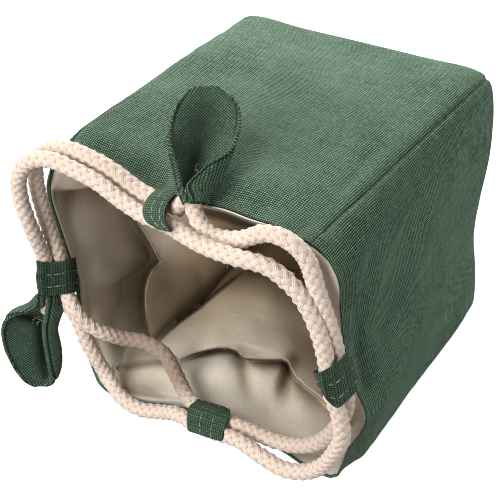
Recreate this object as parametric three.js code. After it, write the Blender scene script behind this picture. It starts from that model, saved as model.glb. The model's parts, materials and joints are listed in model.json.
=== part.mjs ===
// Drawstring storage pouch for a small tea set, lying on its side with the mouth
// towards -Y, the base towards +Y and +Z up. Millimetres.
//
// The pouch is a padded fabric box: a canvas outer, a layer of wadding and a plain
// cotton lining on each of its four walls and its base. Four fabric loops on the rim
// carry two braided drawcords. Each cord runs once round the mouth and both of its
// ends are gathered into a two-layer leaf-shaped pull.
//
// In the dimensions below y = 0 is the rim. The finished group is shifted so that
// the origin is the middle of the underside that the pouch rests on.

import * as THREE from 'three';
import { mergeVertices } from 'three/addons/utils/BufferGeometryUtils.js';

// ---- driving dimensions -----------------------------------------------------
const WIDTH = 125;           // across the pouch, X
const HEIGHT = 122;          // underside to top wall, Z
const DEPTH = 137;           // rim to outside of the base, Y
const CANVAS = 1.2;          // outer canvas thickness
const WADDING = 2.4;         // padding thickness
const LINING = 0.8;          // lining thickness
const GAP = 0.3;             // clearance between neighbouring pieces
const LAYER_GAP = 0.5;       // clearance between the layers of a wall
const WADDING_INSET = 7;     // the padding stops this far short of the rim seam
const BULGE_LEFT = 10;       // how far the rim bellies out on each side
const BULGE_RIGHT = 13;
const BULGE_TOP = 2.5;
const BULGE_FALL = 1.6;      // how fast the belly fades towards the base
const CORD_D = 6.6;          // drawcord, measured lightly pressed
const CORD_SIDES = 10;
const LOOP_WIDTH = 15;       // along the rim
const LOOP_HOLE = [16.6, 9.2];   // space inside a loop, for two cords side by side
const LOOP_WALL = 1.3;       // doubled canvas
const LEAF_LENGTH_TOP = 46;  // from the stitched end to the tip
const LEAF_LENGTH_LEFT = 41; // this one is drawn further into its stitching, and hangs clear of the floor
const LEAF_LAYER = 1.2;
const LEAF_CUP = 6.5;        // how far the leaf's edges curl forward
const LEAF_START = 5.2;      // the cloth starts this far from the knot's centre
const KNOT_R = 3.4;
const PANEL_STEPS = 8;       // grid of every wall, shared by its layers

// Half width of the leaf along its length.
const LEAF_HALF = [[0, 4.2], [0.12, 6.6], [0.3, 11.6], [0.5, 15.6], [0.66, 16.4], [0.8, 14.4], [0.92, 9.6], [1, 3.0]];

// Where the two pulls are stitched, and which way they lie.
const PULL_TOP = { knot: [10.0, -7.0, 130.3], tip: [-9.5, 35.0, 150.0], length: LEAF_LENGTH_TOP };
const PULL_LEFT = { knot: [-75.9, -15.7, 46.6], tip: [-83.0, -24.2, 1.6], length: LEAF_LENGTH_LEFT };
const LEAF_FACE = [0.503, -0.628, 0.595];   // the hollow side of both leaves

// The loops at the middles of the four rim edges: centre, direction of the cords
// through the loop, and direction from the rim outwards.
const LOOPS = {
  left: { centre: [-70.5, -9.8, 62.0], along: [0.030, 0.000, 1.000], across: [-0.702, -0.712, 0.021] },
  top: { centre: [-3.4, -9.8, 120.3], along: [1.000, 0.000, -0.020], across: [-0.009, -0.902, -0.431] },
  right: { centre: [75.9, -9.8, 67.2], along: [-0.200, 0.000, 0.980], across: [-0.485, -0.869, -0.099] },
  under: { centre: [6.9, -10.3, 12.5], along: [0.999, -0.050, 0.000], across: [-0.046, -0.928, -0.370] },
};

// Centrelines of the drawcords.
const ROUTE_1 = [
  [6.4, -6.4, 121.7], [-2.6, -6.4, 121.9], [-11.6, -6.4, 122.1], [-19.8, -6.3, 125.3],
  [-27.9, -6.4, 129.2], [-36.3, -6.7, 132.4], [-45.2, -7.1, 134.0], [-54.1, -7.6, 133.2],
  [-62.1, -8.2, 129.3], [-67.6, -8.8, 122.4], [-70.0, -9.0, 113.7], [-70.8, -8.8, 104.8],
  [-70.9, -8.4, 95.8], [-70.3, -7.9, 86.8], [-68.7, -7.4, 78.0], [-67.7, -7.1, 69.1],
  [-67.9, -7.1, 60.1], [-67.9, -7.2, 51.1], [-60.8, -9.1, 46.2], [-54.6, -8.4, 39.9],
  [-49.2, -4.6, 33.8], [-42.2, -0.3, 30.5], [-33.7, 2.3, 29.0], [-25.1, 2.3, 26.3],
  [-17.9, 0.1, 21.5], [-10.9, -3.2, 16.9], [-3.1, -6.3, 13.9], [5.9, -6.8, 13.9],
  [14.9, -7.2, 13.9], [23.8, -6.6, 13.4], [32.8, -6.0, 13.1], [41.7, -6.0, 14.0],
  [50.3, -6.0, 16.6], [58.1, -5.8, 21.1], [64.6, -5.6, 27.3], [69.6, -5.5, 34.8],
  [73.6, -5.6, 42.8], [77.2, -6.1, 51.1], [79.4, -6.5, 59.5], [77.6, -6.5, 68.3],
  [75.8, -6.5, 77.1], [75.6, -5.9, 86.1], [74.4, -5.6, 95.0], [71.9, -5.5, 103.6],
  [68.7, -5.5, 112.0], [64.0, -5.6, 119.7], [56.7, -6.0, 124.7], [47.8, -6.8, 124.6],
  [39.3, -7.7, 121.8], [30.7, -8.5, 119.4], [21.8, -8.0, 119.8], [13.6, -5.6, 122.6],
];
const ROUTE_2 = [
  [-73.5, -12.5, 51.6], [-73.2, -12.5, 60.9], [-73.0, -12.5, 70.1], [-72.0, -14.3, 79.1],
  [-70.9, -16.3, 88.1], [-70.7, -17.7, 97.2], [-70.9, -18.4, 106.4], [-70.1, -18.4, 115.7],
  [-66.6, -17.9, 124.1], [-59.7, -17.0, 130.2], [-50.9, -15.8, 132.5], [-41.8, -14.7, 131.5],
  [-33.0, -14.0, 128.6], [-24.5, -13.6, 124.9], [-16.6, -13.3, 120.2], [-7.7, -13.3, 118.7],
  [1.6, -13.3, 118.5], [10.7, -14.1, 118.0], [19.8, -15.9, 117.2], [29.0, -16.7, 117.1],
  [38.3, -16.6, 117.0], [47.3, -15.7, 115.4], [55.2, -14.3, 110.9], [61.2, -13.4, 104.0],
  [65.4, -13.0, 95.7], [68.7, -13.1, 87.1], [71.6, -13.1, 78.3], [73.5, -13.1, 69.2],
  [75.4, -13.1, 60.1], [77.8, -13.3, 51.2], [78.1, -13.5, 42.0], [75.2, -13.5, 33.2],
  [71.0, -13.2, 25.0], [65.3, -13.1, 17.7], [57.4, -13.5, 13.0], [48.3, -14.0, 11.8],
  [39.0, -14.4, 12.4], [29.8, -14.5, 12.5], [20.6, -14.5, 11.5], [11.3, -14.1, 11.1],
  [2.1, -13.6, 11.1], [-7.0, -12.8, 10.1], [-15.5, -11.3, 6.9], [-24.6, -11.3, 5.0],
  [-33.8, -12.1, 5.5], [-42.6, -11.4, 8.0], [-50.6, -8.7, 11.8], [-57.9, -5.7, 16.6],
  [-64.6, -3.9, 22.8], [-69.3, -4.6, 30.6], [-70.6, -8.3, 38.9], [-68.9, -13.8, 46.1],
];

// ---- materials --------------------------------------------------------------
const canvasLook = () => new THREE.MeshStandardMaterial({ color: 0x45684f, roughness: 0.95, metalness: 0 });
const liningLook = () => new THREE.MeshStandardMaterial({ color: 0xb9ac95, roughness: 0.9, metalness: 0 });
const waddingLook = () => new THREE.MeshStandardMaterial({ color: 0xe9e6de, roughness: 1, metalness: 0 });
const cordLook = () => new THREE.MeshStandardMaterial({ color: 0xe6d0bb, roughness: 0.95, metalness: 0 });

// ---- helpers ----------------------------------------------------------------
const pouch = new THREE.Group();
pouch.position.set(0, -DEPTH / 2, 0);

function add(name, geometry, material) {
  const mesh = new THREE.Mesh(geometry, material);
  mesh.name = name;
  pouch.add(mesh);
  return mesh;
}

function closed(geometry) {
  geometry.deleteAttribute('normal');
  geometry.deleteAttribute('uv');
  return mergeVertices(geometry, 1e-4);
}

// Moves every vertex of a geometry through a function of its position.
function bend(geometry, move) {
  const position = geometry.attributes.position;
  const p = new THREE.Vector3();
  for (let i = 0; i < position.count; i += 1) {
    p.fromBufferAttribute(position, i);
    move(p);
    position.setXYZ(i, p.x, p.y, p.z);
  }
  return geometry;
}

// The sag of the lying pouch: the rim bellies out at both sides and a little on top.
function sag(p) {
  const u = p.x / (WIDTH / 2);
  const v = Math.min(Math.max(p.y / DEPTH, 0), 1);
  const w = Math.min(Math.max(p.z / HEIGHT, 0), 1);
  const open = (1 - v) ** BULGE_FALL;
  const side = u < 0 ? -BULGE_LEFT * u * u : BULGE_RIGHT * u * u;
  p.x += side * open * Math.sin(Math.PI * w);
  p.z += BULGE_TOP * open * (1 - u * u) * w * w;
}

// A flat piece whose inner grid lines fall on one grid for all layers, so that the
// layers stay parallel when they sag.
function slab(x0, x1, y0, y1, z0, z1) {
  const size = [x1 - x0, y1 - y0, z1 - z0];
  const steps = size.map((d) => (d > 10 ? PANEL_STEPS : 1));
  const onGrid = (t, n, a, b, start, span) => {
    const k = Math.round((t + 0.5) * n);
    if (k === 0) return a;
    if (k === n) return b;
    return start + (span * k) / n;
  };
  const box = closed(new THREE.BoxGeometry(1, 1, 1, ...steps));
  return bend(box, (p) => {
    p.x = onGrid(p.x, steps[0], x0, x1, -WIDTH / 2, WIDTH);
    p.y = onGrid(p.y, steps[1], y0, y1, 0, DEPTH);
    p.z = onGrid(p.z, steps[2], z0, z1, 0, HEIGHT);
    sag(p);
  });
}

// Four walls and a base of one layer, inset from the outside of the pouch.
function layer(prefix, inset, thickness, rim, look) {
  const x = WIDTH / 2 - inset;
  const z0 = inset;
  const z1 = HEIGHT - inset;
  const y1 = DEPTH - inset;
  const back = y1 - thickness - GAP;
  add(`${prefix}_top`, slab(-x, x, rim, back, z1 - thickness, z1), look());
  add(`${prefix}_under`, slab(-x, x, rim, back, z0, z0 + thickness), look());
  add(`${prefix}_left`, slab(-x, -x + thickness, rim, back, z0 + thickness + GAP, z1 - thickness - GAP), look());
  add(`${prefix}_right`, slab(x - thickness, x, rim, back, z0 + thickness + GAP, z1 - thickness - GAP), look());
  add(`${prefix}_base`, slab(-x, x, y1 - thickness, y1, z0, z1), look());
}

// ---- outer, padding and lining ----------------------------------------------
layer('outer', 0, CANVAS, 0, canvasLook);
layer('wadding', CANVAS + LAYER_GAP, WADDING, WADDING_INSET, waddingLook);
layer('lining', CANVAS + WADDING + 2 * LAYER_GAP, LINING, 0, liningLook);

// ---- cord loops ---------------------------------------------------------------
function stadium(length, thickness, Path) {
  const r = thickness / 2;
  const h = length / 2 - r;
  const path = new Path();
  path.moveTo(-h, -r);
  path.lineTo(h, -r);
  path.absarc(h, 0, r, -Math.PI / 2, Math.PI / 2, false);
  path.lineTo(-h, r);
  path.absarc(-h, 0, r, Math.PI / 2, Math.PI * 1.5, false);
  return path;
}

for (const [side, loop] of Object.entries(LOOPS)) {
  const shape = stadium(LOOP_HOLE[0] + 2 * LOOP_WALL, LOOP_HOLE[1] + 2 * LOOP_WALL, THREE.Shape);
  shape.holes.push(stadium(LOOP_HOLE[0], LOOP_HOLE[1], THREE.Path));
  const band = new THREE.ExtrudeGeometry(shape, { depth: LOOP_WIDTH, bevelEnabled: false, curveSegments: 6 });
  band.translate(0, 0, -LOOP_WIDTH / 2);
  const mesh = add(`cord_loop_${side}`, closed(band), canvasLook());
  const z = new THREE.Vector3(...loop.along).normalize();
  const x = new THREE.Vector3(...loop.across);
  x.addScaledVector(z, -x.dot(z)).normalize();
  const y = new THREE.Vector3().crossVectors(z, x);
  mesh.quaternion.setFromRotationMatrix(new THREE.Matrix4().makeBasis(x, y, z));
  mesh.position.set(...loop.centre);
}

// ---- drawcords ----------------------------------------------------------------
function cord(name, route) {
  const curve = new THREE.CatmullRomCurve3(route.map((p) => new THREE.Vector3(...p)), false, 'centripetal');
  const section = new THREE.Shape();
  for (let i = 0; i < CORD_SIDES; i += 1) {
    const a = (2 * Math.PI * i) / CORD_SIDES;
    const x = (CORD_D / 2) * Math.cos(a);
    const y = (CORD_D / 2) * Math.sin(a);
    if (i === 0) section.moveTo(x, y);
    else section.lineTo(x, y);
  }
  section.closePath();
  const tube = new THREE.ExtrudeGeometry(section, { steps: route.length - 1, extrudePath: curve, bevelEnabled: false });
  add(name, closed(tube), cordLook());
}
cord('drawcord_1', ROUTE_1);
cord('drawcord_2', ROUTE_2);

// ---- leaf pulls ---------------------------------------------------------------
function halfWidth(v) {
  let i = 0;
  while (i < LEAF_HALF.length - 2 && v > LEAF_HALF[i + 1][0]) i += 1;
  const [a, wa] = LEAF_HALF[i];
  const [b, wb] = LEAF_HALF[i + 1];
  return wa + ((wb - wa) * (v - a)) / (b - a);
}

function leafLayer(n0, n1, length) {
  const grid = closed(new THREE.BoxGeometry(2, 1, 1, 6, 9, 1));
  return bend(grid, (p) => {
    const u = p.x;
    const v = p.y + 0.5;
    const n = n0 + (n1 - n0) * (p.z + 0.5);
    p.x = u * halfWidth(v);
    p.y = LEAF_START + v * length;
    p.z = n + LEAF_CUP * u * u * Math.sin(Math.PI * Math.min(0.15 + 0.8 * v, 1));
  });
}

function pull(side, place) {
  const knot = new THREE.Vector3(...place.knot);
  const y = new THREE.Vector3(...place.tip).sub(knot).normalize();
  const z = new THREE.Vector3(...LEAF_FACE);
  z.addScaledVector(y, -z.dot(y)).normalize();
  const x = new THREE.Vector3().crossVectors(y, z);
  const turn = new THREE.Quaternion().setFromRotationMatrix(new THREE.Matrix4().makeBasis(x, y, z));
  const pieces = [
    [`leaf_${side}_front`, leafLayer(GAP / 2, GAP / 2 + LEAF_LAYER, place.length), canvasLook()],
    [`leaf_${side}_back`, leafLayer(-GAP / 2 - LEAF_LAYER, -GAP / 2, place.length), canvasLook()],
    [`cord_knot_${side}`, closed(new THREE.SphereGeometry(KNOT_R, 12, 8)), cordLook()],
  ];
  for (const [name, geometry, look] of pieces) {
    const mesh = add(name, geometry, look);
    mesh.quaternion.copy(turn);
    mesh.position.copy(knot);
  }
}
pull('top', PULL_TOP);
pull('left', PULL_LEFT);

export default pouch;
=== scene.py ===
"""Drawstring storage pouch for a small tea set: the visual model.

Shapes are worked out in millimetres in the rim frame of the part, in which y = 0 is the
rim and z = 0 the floor. to_world() takes them to the shared frame in metres.
"""
import json
import math

import bpy
import numpy as np
from mathutils import Matrix, Vector
from mathutils.bvhtree import BVHTree

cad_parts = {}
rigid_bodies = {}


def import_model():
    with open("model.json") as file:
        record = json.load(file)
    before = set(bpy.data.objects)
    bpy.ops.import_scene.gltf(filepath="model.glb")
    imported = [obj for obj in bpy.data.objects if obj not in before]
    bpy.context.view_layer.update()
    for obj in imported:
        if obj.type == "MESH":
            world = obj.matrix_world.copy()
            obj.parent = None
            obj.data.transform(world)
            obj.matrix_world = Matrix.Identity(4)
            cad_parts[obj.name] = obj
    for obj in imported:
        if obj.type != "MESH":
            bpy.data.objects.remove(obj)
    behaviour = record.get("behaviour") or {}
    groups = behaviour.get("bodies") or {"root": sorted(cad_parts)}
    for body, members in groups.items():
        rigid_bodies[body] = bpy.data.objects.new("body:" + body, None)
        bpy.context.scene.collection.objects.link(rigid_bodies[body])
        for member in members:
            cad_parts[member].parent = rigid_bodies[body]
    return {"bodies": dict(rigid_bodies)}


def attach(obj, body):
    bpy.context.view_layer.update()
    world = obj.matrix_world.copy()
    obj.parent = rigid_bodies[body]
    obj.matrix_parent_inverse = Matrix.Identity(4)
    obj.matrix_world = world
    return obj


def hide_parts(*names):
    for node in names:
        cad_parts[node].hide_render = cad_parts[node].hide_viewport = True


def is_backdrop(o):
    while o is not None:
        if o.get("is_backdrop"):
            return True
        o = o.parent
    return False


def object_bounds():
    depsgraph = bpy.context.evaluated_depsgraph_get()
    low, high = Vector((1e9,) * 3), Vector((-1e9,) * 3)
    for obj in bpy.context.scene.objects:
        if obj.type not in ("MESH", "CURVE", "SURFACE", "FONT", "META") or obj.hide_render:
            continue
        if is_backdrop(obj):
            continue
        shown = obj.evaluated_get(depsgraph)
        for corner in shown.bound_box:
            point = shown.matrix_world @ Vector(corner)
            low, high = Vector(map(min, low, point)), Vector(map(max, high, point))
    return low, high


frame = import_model()
cad_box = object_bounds()

Y_SHIFT = 68.5


def to_world(p):
    q = np.array(p, float)
    q[..., 1] -= Y_SHIFT
    return q / 1000.0


# ---------------------------------------------------------------- camera
AZ, EL, ROLL, DIST, FOCAL = 38.71, 36.48, -6.02, 559.97, 1216.36
TARGET = np.array([-15.93, 60.0, 50.40])
_a, _e, _r = (math.radians(x) for x in (AZ, EL, ROLL))
BACK = np.array([math.sin(_a) * math.cos(_e), -math.cos(_a) * math.cos(_e), math.sin(_e)])
_right = np.array([math.cos(_a), math.sin(_a), 0.0])
_up = np.cross(BACK, _right)
RIGHT = math.cos(_r) * _right + math.sin(_r) * _up
UP = -math.sin(_r) * _right + math.cos(_r) * _up
EYE = TARGET + DIST * BACK


def line_of_sight(px, py):
    """Unit directions from the eye through frame points, which are in 500ths of the frame."""
    px, py = np.asarray(px, float), np.asarray(py, float)
    d = ((px - 250) / FOCAL)[..., None] * RIGHT - ((py - 250) / FOCAL)[..., None] * UP - BACK
    return d / np.linalg.norm(d, axis=-1, keepdims=True)


def in_frame(p):
    d = np.asarray(p, float) - EYE
    z = -(d @ BACK)
    return np.stack([250 + FOCAL * (d @ RIGHT) / z, 250 - FOCAL * (d @ UP) / z], -1)


def on_mouth(px, py, y=0.0):
    d = line_of_sight(px, py)
    t = (y - EYE[1]) / d[..., 1]
    return EYE + t[..., None] * d


cam_data = bpy.data.cameras.new("camera")
cam = bpy.data.objects.new("camera", cam_data)
bpy.context.scene.collection.objects.link(cam)
cam_data.sensor_fit = "HORIZONTAL"
cam_data.sensor_width = 36.0
cam_data.lens = FOCAL * 36.0 / 500.0
cam_data.clip_start, cam_data.clip_end = 0.01, 50
_m = np.eye(4)
_m[:3, 0], _m[:3, 1], _m[:3, 2], _m[:3, 3] = RIGHT, UP, BACK, to_world(EYE)
cam.matrix_world = Matrix(_m.tolist())
bpy.context.scene.camera = cam
bpy.context.scene.view_settings.view_transform = "Standard"

# ---------------------------------------------------------------- small tools
rng = np.random.default_rng(11)


def smooth(x, a=0.0, b=1.0):
    t = np.clip((np.asarray(x, float) - a) / (b - a), 0, 1)
    return t * t * (3 - 2 * t)


def unit(v):
    v = np.asarray(v, float)
    return v / np.maximum(np.linalg.norm(v, axis=-1, keepdims=True), 1e-12)


def spline(points, per=24, closed=False):
    """Centripetal Catmull-Rom through points."""
    p = np.asarray(points, float)
    q = np.vstack([p[-1:], p, p[:2]]) if closed else np.vstack([2 * p[0] - p[1], p, 2 * p[-1] - p[-2]])
    out = []
    for i in range(1, len(q) - 2):
        p0, p1, p2, p3 = q[i - 1 : i + 3]
        t1 = max(np.linalg.norm(p1 - p0), 1e-9) ** 0.5
        t2 = t1 + max(np.linalg.norm(p2 - p1), 1e-9) ** 0.5
        t3 = t2 + max(np.linalg.norm(p3 - p2), 1e-9) ** 0.5
        t = np.linspace(t1, t2, per, endpoint=False)[:, None]
        a1 = (t1 - t) / t1 * p0 + t / t1 * p1
        a2 = (t2 - t) / (t2 - t1) * p1 + (t - t1) / (t2 - t1) * p2
        a3 = (t3 - t) / (t3 - t2) * p2 + (t - t2) / (t3 - t2) * p3
        b1 = (t2 - t) / t2 * a1 + t / t2 * a2
        b2 = (t3 - t) / (t3 - t1) * a2 + (t - t1) / (t3 - t1) * a3
        out.append((t2 - t) / (t2 - t1) * b1 + (t - t1) / (t2 - t1) * b2)
    if not closed:
        out.append(p[-1:])
    return np.vstack(out)


def arc(p):
    return np.r_[0, np.cumsum(np.linalg.norm(np.diff(p, axis=0), axis=1))]


def resample(p, n):
    s = arc(p)
    t = np.linspace(0, s[-1], n)
    return np.stack([np.interp(t, s, p[:, k]) for k in range(p.shape[1])], 1)


def grid_faces(rows, cols, wrap_cols=False, wrap_rows=False, flip=False):
    r = np.arange(rows if wrap_rows else rows - 1)
    c = np.arange(cols if wrap_cols else cols - 1)
    i, j = np.meshgrid(r, c, indexing="ij")
    i2, j2 = (i + 1) % rows, (j + 1) % cols
    f = np.stack([i * cols + j, i * cols + j2, i2 * cols + j2, i2 * cols + j], -1).reshape(-1, 4)
    return f[:, ::-1] if flip else f


def make(name, verts, faces, material, uv=None, values=None, smooth_shading=True):
    """A mesh object from points in millimetres. uv is per vertex, in millimetres of cloth."""
    mesh = bpy.data.meshes.new(name)
    verts, faces = np.asarray(verts, float), [tuple(int(x) for x in f) for f in faces]
    mesh.from_pydata(to_world(verts).tolist(), [], faces)
    if uv is not None:
        layer = mesh.uv_layers.new(name="cloth")
        index = np.zeros(len(mesh.loops), np.int32)
        mesh.loops.foreach_get("vertex_index", index)
        layer.data.foreach_set("uv", (np.asarray(uv, float)[index] / 100.0).astype(np.float32).ravel())
    for key, value in (values or {}).items():
        attribute = mesh.attributes.new(key, "FLOAT", "POINT")
        attribute.data.foreach_set("value", np.asarray(value, np.float32))
    if smooth_shading:
        mesh.polygons.foreach_set("use_smooth", np.ones(len(mesh.polygons), bool))
    mesh.materials.append(material)
    mesh.update()
    obj = bpy.data.objects.new(name, mesh)
    bpy.context.scene.collection.objects.link(obj)
    return obj


def noise_1d(x, seed, scale):
    """Smooth repeatable noise of one variable, about -1 to 1."""
    g = np.random.default_rng(seed).normal(size=512) * 0.6
    t = np.asarray(x, float) / scale + 100
    i = np.floor(t).astype(int)
    f = t - i
    f = f * f * (3 - 2 * f)
    return g[i % 512] * (1 - f) + g[(i + 1) % 512] * f


def noise_2d(x, y, seed, scale):
    g = np.random.default_rng(seed).normal(size=(64, 64)) * 0.6
    tx, ty = np.asarray(x, float) / scale + 40, np.asarray(y, float) / scale + 40
    i, j = np.floor(tx).astype(int), np.floor(ty).astype(int)
    fx, fy = tx - i, ty - j
    fx, fy = fx * fx * (3 - 2 * fx), fy * fy * (3 - 2 * fy)
    v = lambda a, b: g[a % 64, b % 64]
    return (v(i, j) * (1 - fx) + v(i + 1, j) * fx) * (1 - fy) + (v(i, j + 1) * (1 - fx) + v(i + 1, j + 1) * fx) * fy


# ---------------------------------------------------------------- how the cloth follows the walls
def wall_weights(p):
    """How far a point of the cloth goes with the top, left and right walls. One rule for
    all soft pieces, so that they stay together when the mouth is drawn in."""
    p = np.asarray(p, float)
    a, b = p[:, 0] / 64.0, (p[:, 2] - 61.0) / 61.0
    angle = np.degrees(np.arctan2(b, a))
    reach = smooth(137.0 - p[:, 1], 0.0, 55.0)
    spread = np.clip(np.hypot(a, b) / 0.35, 0, 1)
    found = {}
    for wall, middle in (("wall_top", 92.0), ("wall_left", 182.0), ("wall_right", 2.0)):
        off = np.abs((angle - middle + 180) % 360 - 180)
        found[wall] = smooth(78.0 - off, 0.0, 60.0) * reach * smooth(spread)
    return found


def follow_walls(obj, p):
    """obj rides on the pouch and bends with its walls. p is its points at rest, in millimetres."""
    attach(obj, "pouch")
    for wall, w in wall_weights(p).items():
        if w.max() < 1e-3:
            continue
        group = obj.vertex_groups.new(name=wall)
        steps = np.round(w * 100).astype(int)
        for k in np.unique(steps):
            if k > 0:
                group.add(np.nonzero(steps == k)[0].tolist(), k / 100.0, "REPLACE")
        hook = obj.modifiers.new(wall, "HOOK")
        hook.object = frame["bodies"][wall]
        hook.vertex_group = wall
        hook.falloff_type = "NONE"
        hook.matrix_inverse = Matrix.Identity(4)
    return obj


# ---------------------------------------------------------------- materials
class Nodes:
    """A short way to write a node tree."""

    def __init__(self, name):
        self.mat = bpy.data.materials.new(name)
        self.mat.use_nodes = True
        self.tree = self.mat.node_tree
        self.tree.nodes.clear()
        self.out = self.tree.nodes.new("ShaderNodeOutputMaterial")
        self.bsdf = self.tree.nodes.new("ShaderNodeBsdfPrincipled")
        self.tree.links.new(self.bsdf.outputs[0], self.out.inputs["Surface"])

    def link(self, a, socket):
        if hasattr(a, "is_linked"):
            self.tree.links.new(a, socket)
        else:
            socket.default_value = a

    def math(self, op, a, b=None, c=None, clamp=False):
        n = self.tree.nodes.new("ShaderNodeMath")
        n.operation, n.use_clamp = op, clamp
        for k, x in enumerate((a, b, c)):
            if x is not None:
                self.link(x, n.inputs[k])
        return n.outputs[0]

    def ramp(self, value, low, high, to_low=0.0, to_high=1.0):
        n = self.tree.nodes.new("ShaderNodeMapRange")
        for k, x in zip(("Value", "From Min", "From Max", "To Min", "To Max"), (value, low, high, to_low, to_high)):
            self.link(x, n.inputs[k])
        return n.outputs["Result"]

    def mix(self, fac, a, b, kind="MIX"):
        n = self.tree.nodes.new("ShaderNodeMix")
        n.data_type, n.blend_type = "RGBA", kind
        self.link(fac, n.inputs[0])
        for x, k in ((a, 6), (b, 7)):
            self.link((*x, 1.0) if isinstance(x, tuple) else x, n.inputs[k])
        return n.outputs[2]

    def attribute(self, name):
        n = self.tree.nodes.new("ShaderNodeAttribute")
        n.attribute_name = name
        return n.outputs["Fac"]

    def uv(self, scale):
        """Cloth coordinates, one unit for each length of scale millimetres."""
        n = self.tree.nodes.new("ShaderNodeUVMap")
        n.uv_map = "cloth"
        s = self.tree.nodes.new("ShaderNodeSeparateXYZ")
        self.tree.links.new(n.outputs[0], s.inputs[0])
        return self.math("MULTIPLY", s.outputs[0], 100.0 / scale), self.math("MULTIPLY", s.outputs[1], 100.0 / scale)

    def combine(self, x, y, z=0.0):
        n = self.tree.nodes.new("ShaderNodeCombineXYZ")
        for k, v in enumerate((x, y, z)):
            self.link(v, n.inputs[k])
        return n.outputs[0]

    def position(self):
        return self.tree.nodes.new("ShaderNodeTexCoord").outputs["Object"]

    def noise(self, vector, scale, detail=2.0, rough=0.5):
        n = self.tree.nodes.new("ShaderNodeTexNoise")
        self.link(vector, n.inputs["Vector"])
        n.inputs["Scale"].default_value = scale
        n.inputs["Detail"].default_value = detail
        n.inputs["Roughness"].default_value = rough
        return n.outputs["Fac"]

    def white(self, w):
        n = self.tree.nodes.new("ShaderNodeTexWhiteNoise")
        n.noise_dimensions = "1D"
        self.link(w, n.inputs["W"])
        return n.outputs["Value"]

    def bump(self, height, strength, distance):
        n = self.tree.nodes.new("ShaderNodeBump")
        n.inputs["Strength"].default_value = strength
        n.inputs["Distance"].default_value = distance
        self.link(height, n.inputs["Height"])
        self.tree.links.new(n.outputs[0], self.bsdf.inputs["Normal"])

    def finish(self, colour, rough=0.9, sheen=0.0, sheen_rough=0.5, specular=0.2, sheen_tint=(1, 1, 1)):
        self.link(colour if hasattr(colour, "is_linked") else (*colour, 1.0), self.bsdf.inputs["Base Color"])
        self.link(rough, self.bsdf.inputs["Roughness"])
        self.bsdf.inputs["Sheen Weight"].default_value = sheen
        self.bsdf.inputs["Sheen Roughness"].default_value = sheen_rough
        self.bsdf.inputs["Sheen Tint"].default_value = (*sheen_tint, 1.0)
        self.bsdf.inputs["Specular IOR Level"].default_value = specular
        return self.mat


THREAD_PITCH = 0.98      # canvas threads, mm from one to the next


def canvas_material(name, dark, light, contrast=1.0):
    n = Nodes(name)
    u, v = n.uv(THREAD_PITCH)
    # threads wander a little
    wander = n.noise(n.combine(n.math("MULTIPLY", u, 0.05), n.math("MULTIPLY", v, 0.05)), 1.0, 2.0)
    u2 = n.math("ADD", u, n.math("MULTIPLY", wander, 0.9))
    v2 = n.math("SUBTRACT", v, n.math("MULTIPLY", wander, 0.9))
    cu = n.math("COSINE", n.math("MULTIPLY", u2, math.pi))
    cv = n.math("COSINE", n.math("MULTIPLY", v2, math.pi))
    over = n.math("MULTIPLY", cu, cv)
    warp = n.math("MULTIPLY", n.math("ABSOLUTE", cu), n.math("MULTIPLY_ADD", over, 0.42, 0.58))
    weft = n.math("MULTIPLY", n.math("ABSOLUTE", cv), n.math("MULTIPLY_ADD", over, -0.42, 0.58))
    height = n.math("MAXIMUM", warp, weft)
    # each thread has its own shade, and slubs along it
    wu = n.white(n.math("ROUND", u2))
    cell = n.white(n.math("ADD", n.math("MULTIPLY", n.math("ROUND", u2), 3.17), n.math("MULTIPLY", n.math("ROUND", v2), 71.3)))
    wv = n.white(n.math("ADD", n.math("ROUND", v2), 57.0))
    slub_u = n.noise(n.combine(n.math("MULTIPLY", u2, 1.0), n.math("MULTIPLY", v2, 0.12)), 1.0, 3.0, 0.6)
    slub_v = n.noise(n.combine(n.math("MULTIPLY", u2, 0.12), n.math("ADD", v2, 31.0)), 1.0, 3.0, 0.6)
    shade = n.math("ADD", n.math("MULTIPLY", n.math("ADD", wu, wv), 0.18), n.math("MULTIPLY", n.math("ADD", slub_u, slub_v), 0.7))
    crisp = n.attribute("crisp")
    f = n.math("ADD", n.ramp(height, 0.42, 0.88, -1.05, 0.75), n.math("SUBTRACT", shade, 0.88))
    f = n.math("ADD", f, n.math("MULTIPLY_ADD", cell, 0.6, -0.3))
    f = n.math("MULTIPLY_ADD", n.math("MULTIPLY", f, crisp), contrast, 0.5, clamp=True)
    colour = n.mix(f, dark, light)
    worn = n.noise(n.position(), 38.0, 3.0)
    colour = n.mix(n.ramp(worn, 0.35, 0.75, 0.0, 0.16), colour, tuple(min(1, x * 1.2 + 0.005) for x in light))
    # painted shade: darkens the cloth in seam grooves, in the leaf pockets and on loops that lie in shade
    colour = n.mix(n.math("MULTIPLY", n.attribute("painted_crease_shade"), 0.97), colour, tuple(x * 0.25 for x in dark))
    n.bump(n.math("MULTIPLY", height, crisp), 0.8, 0.0005)
    return n.finish(colour, 0.92, sheen=0.07, sheen_rough=0.45, specular=0.08, sheen_tint=(0.86, 0.97, 0.88))


GREEN_DARK, GREEN_LIGHT = (0.009, 0.023, 0.012), (0.200, 0.318, 0.218)
canvas = canvas_material("canvas", GREEN_DARK, GREEN_LIGHT, 0.95)
canvas_trim = canvas_material("canvas_trim", GREEN_DARK, tuple(x * 0.72 for x in GREEN_LIGHT), 0.62)

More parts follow.
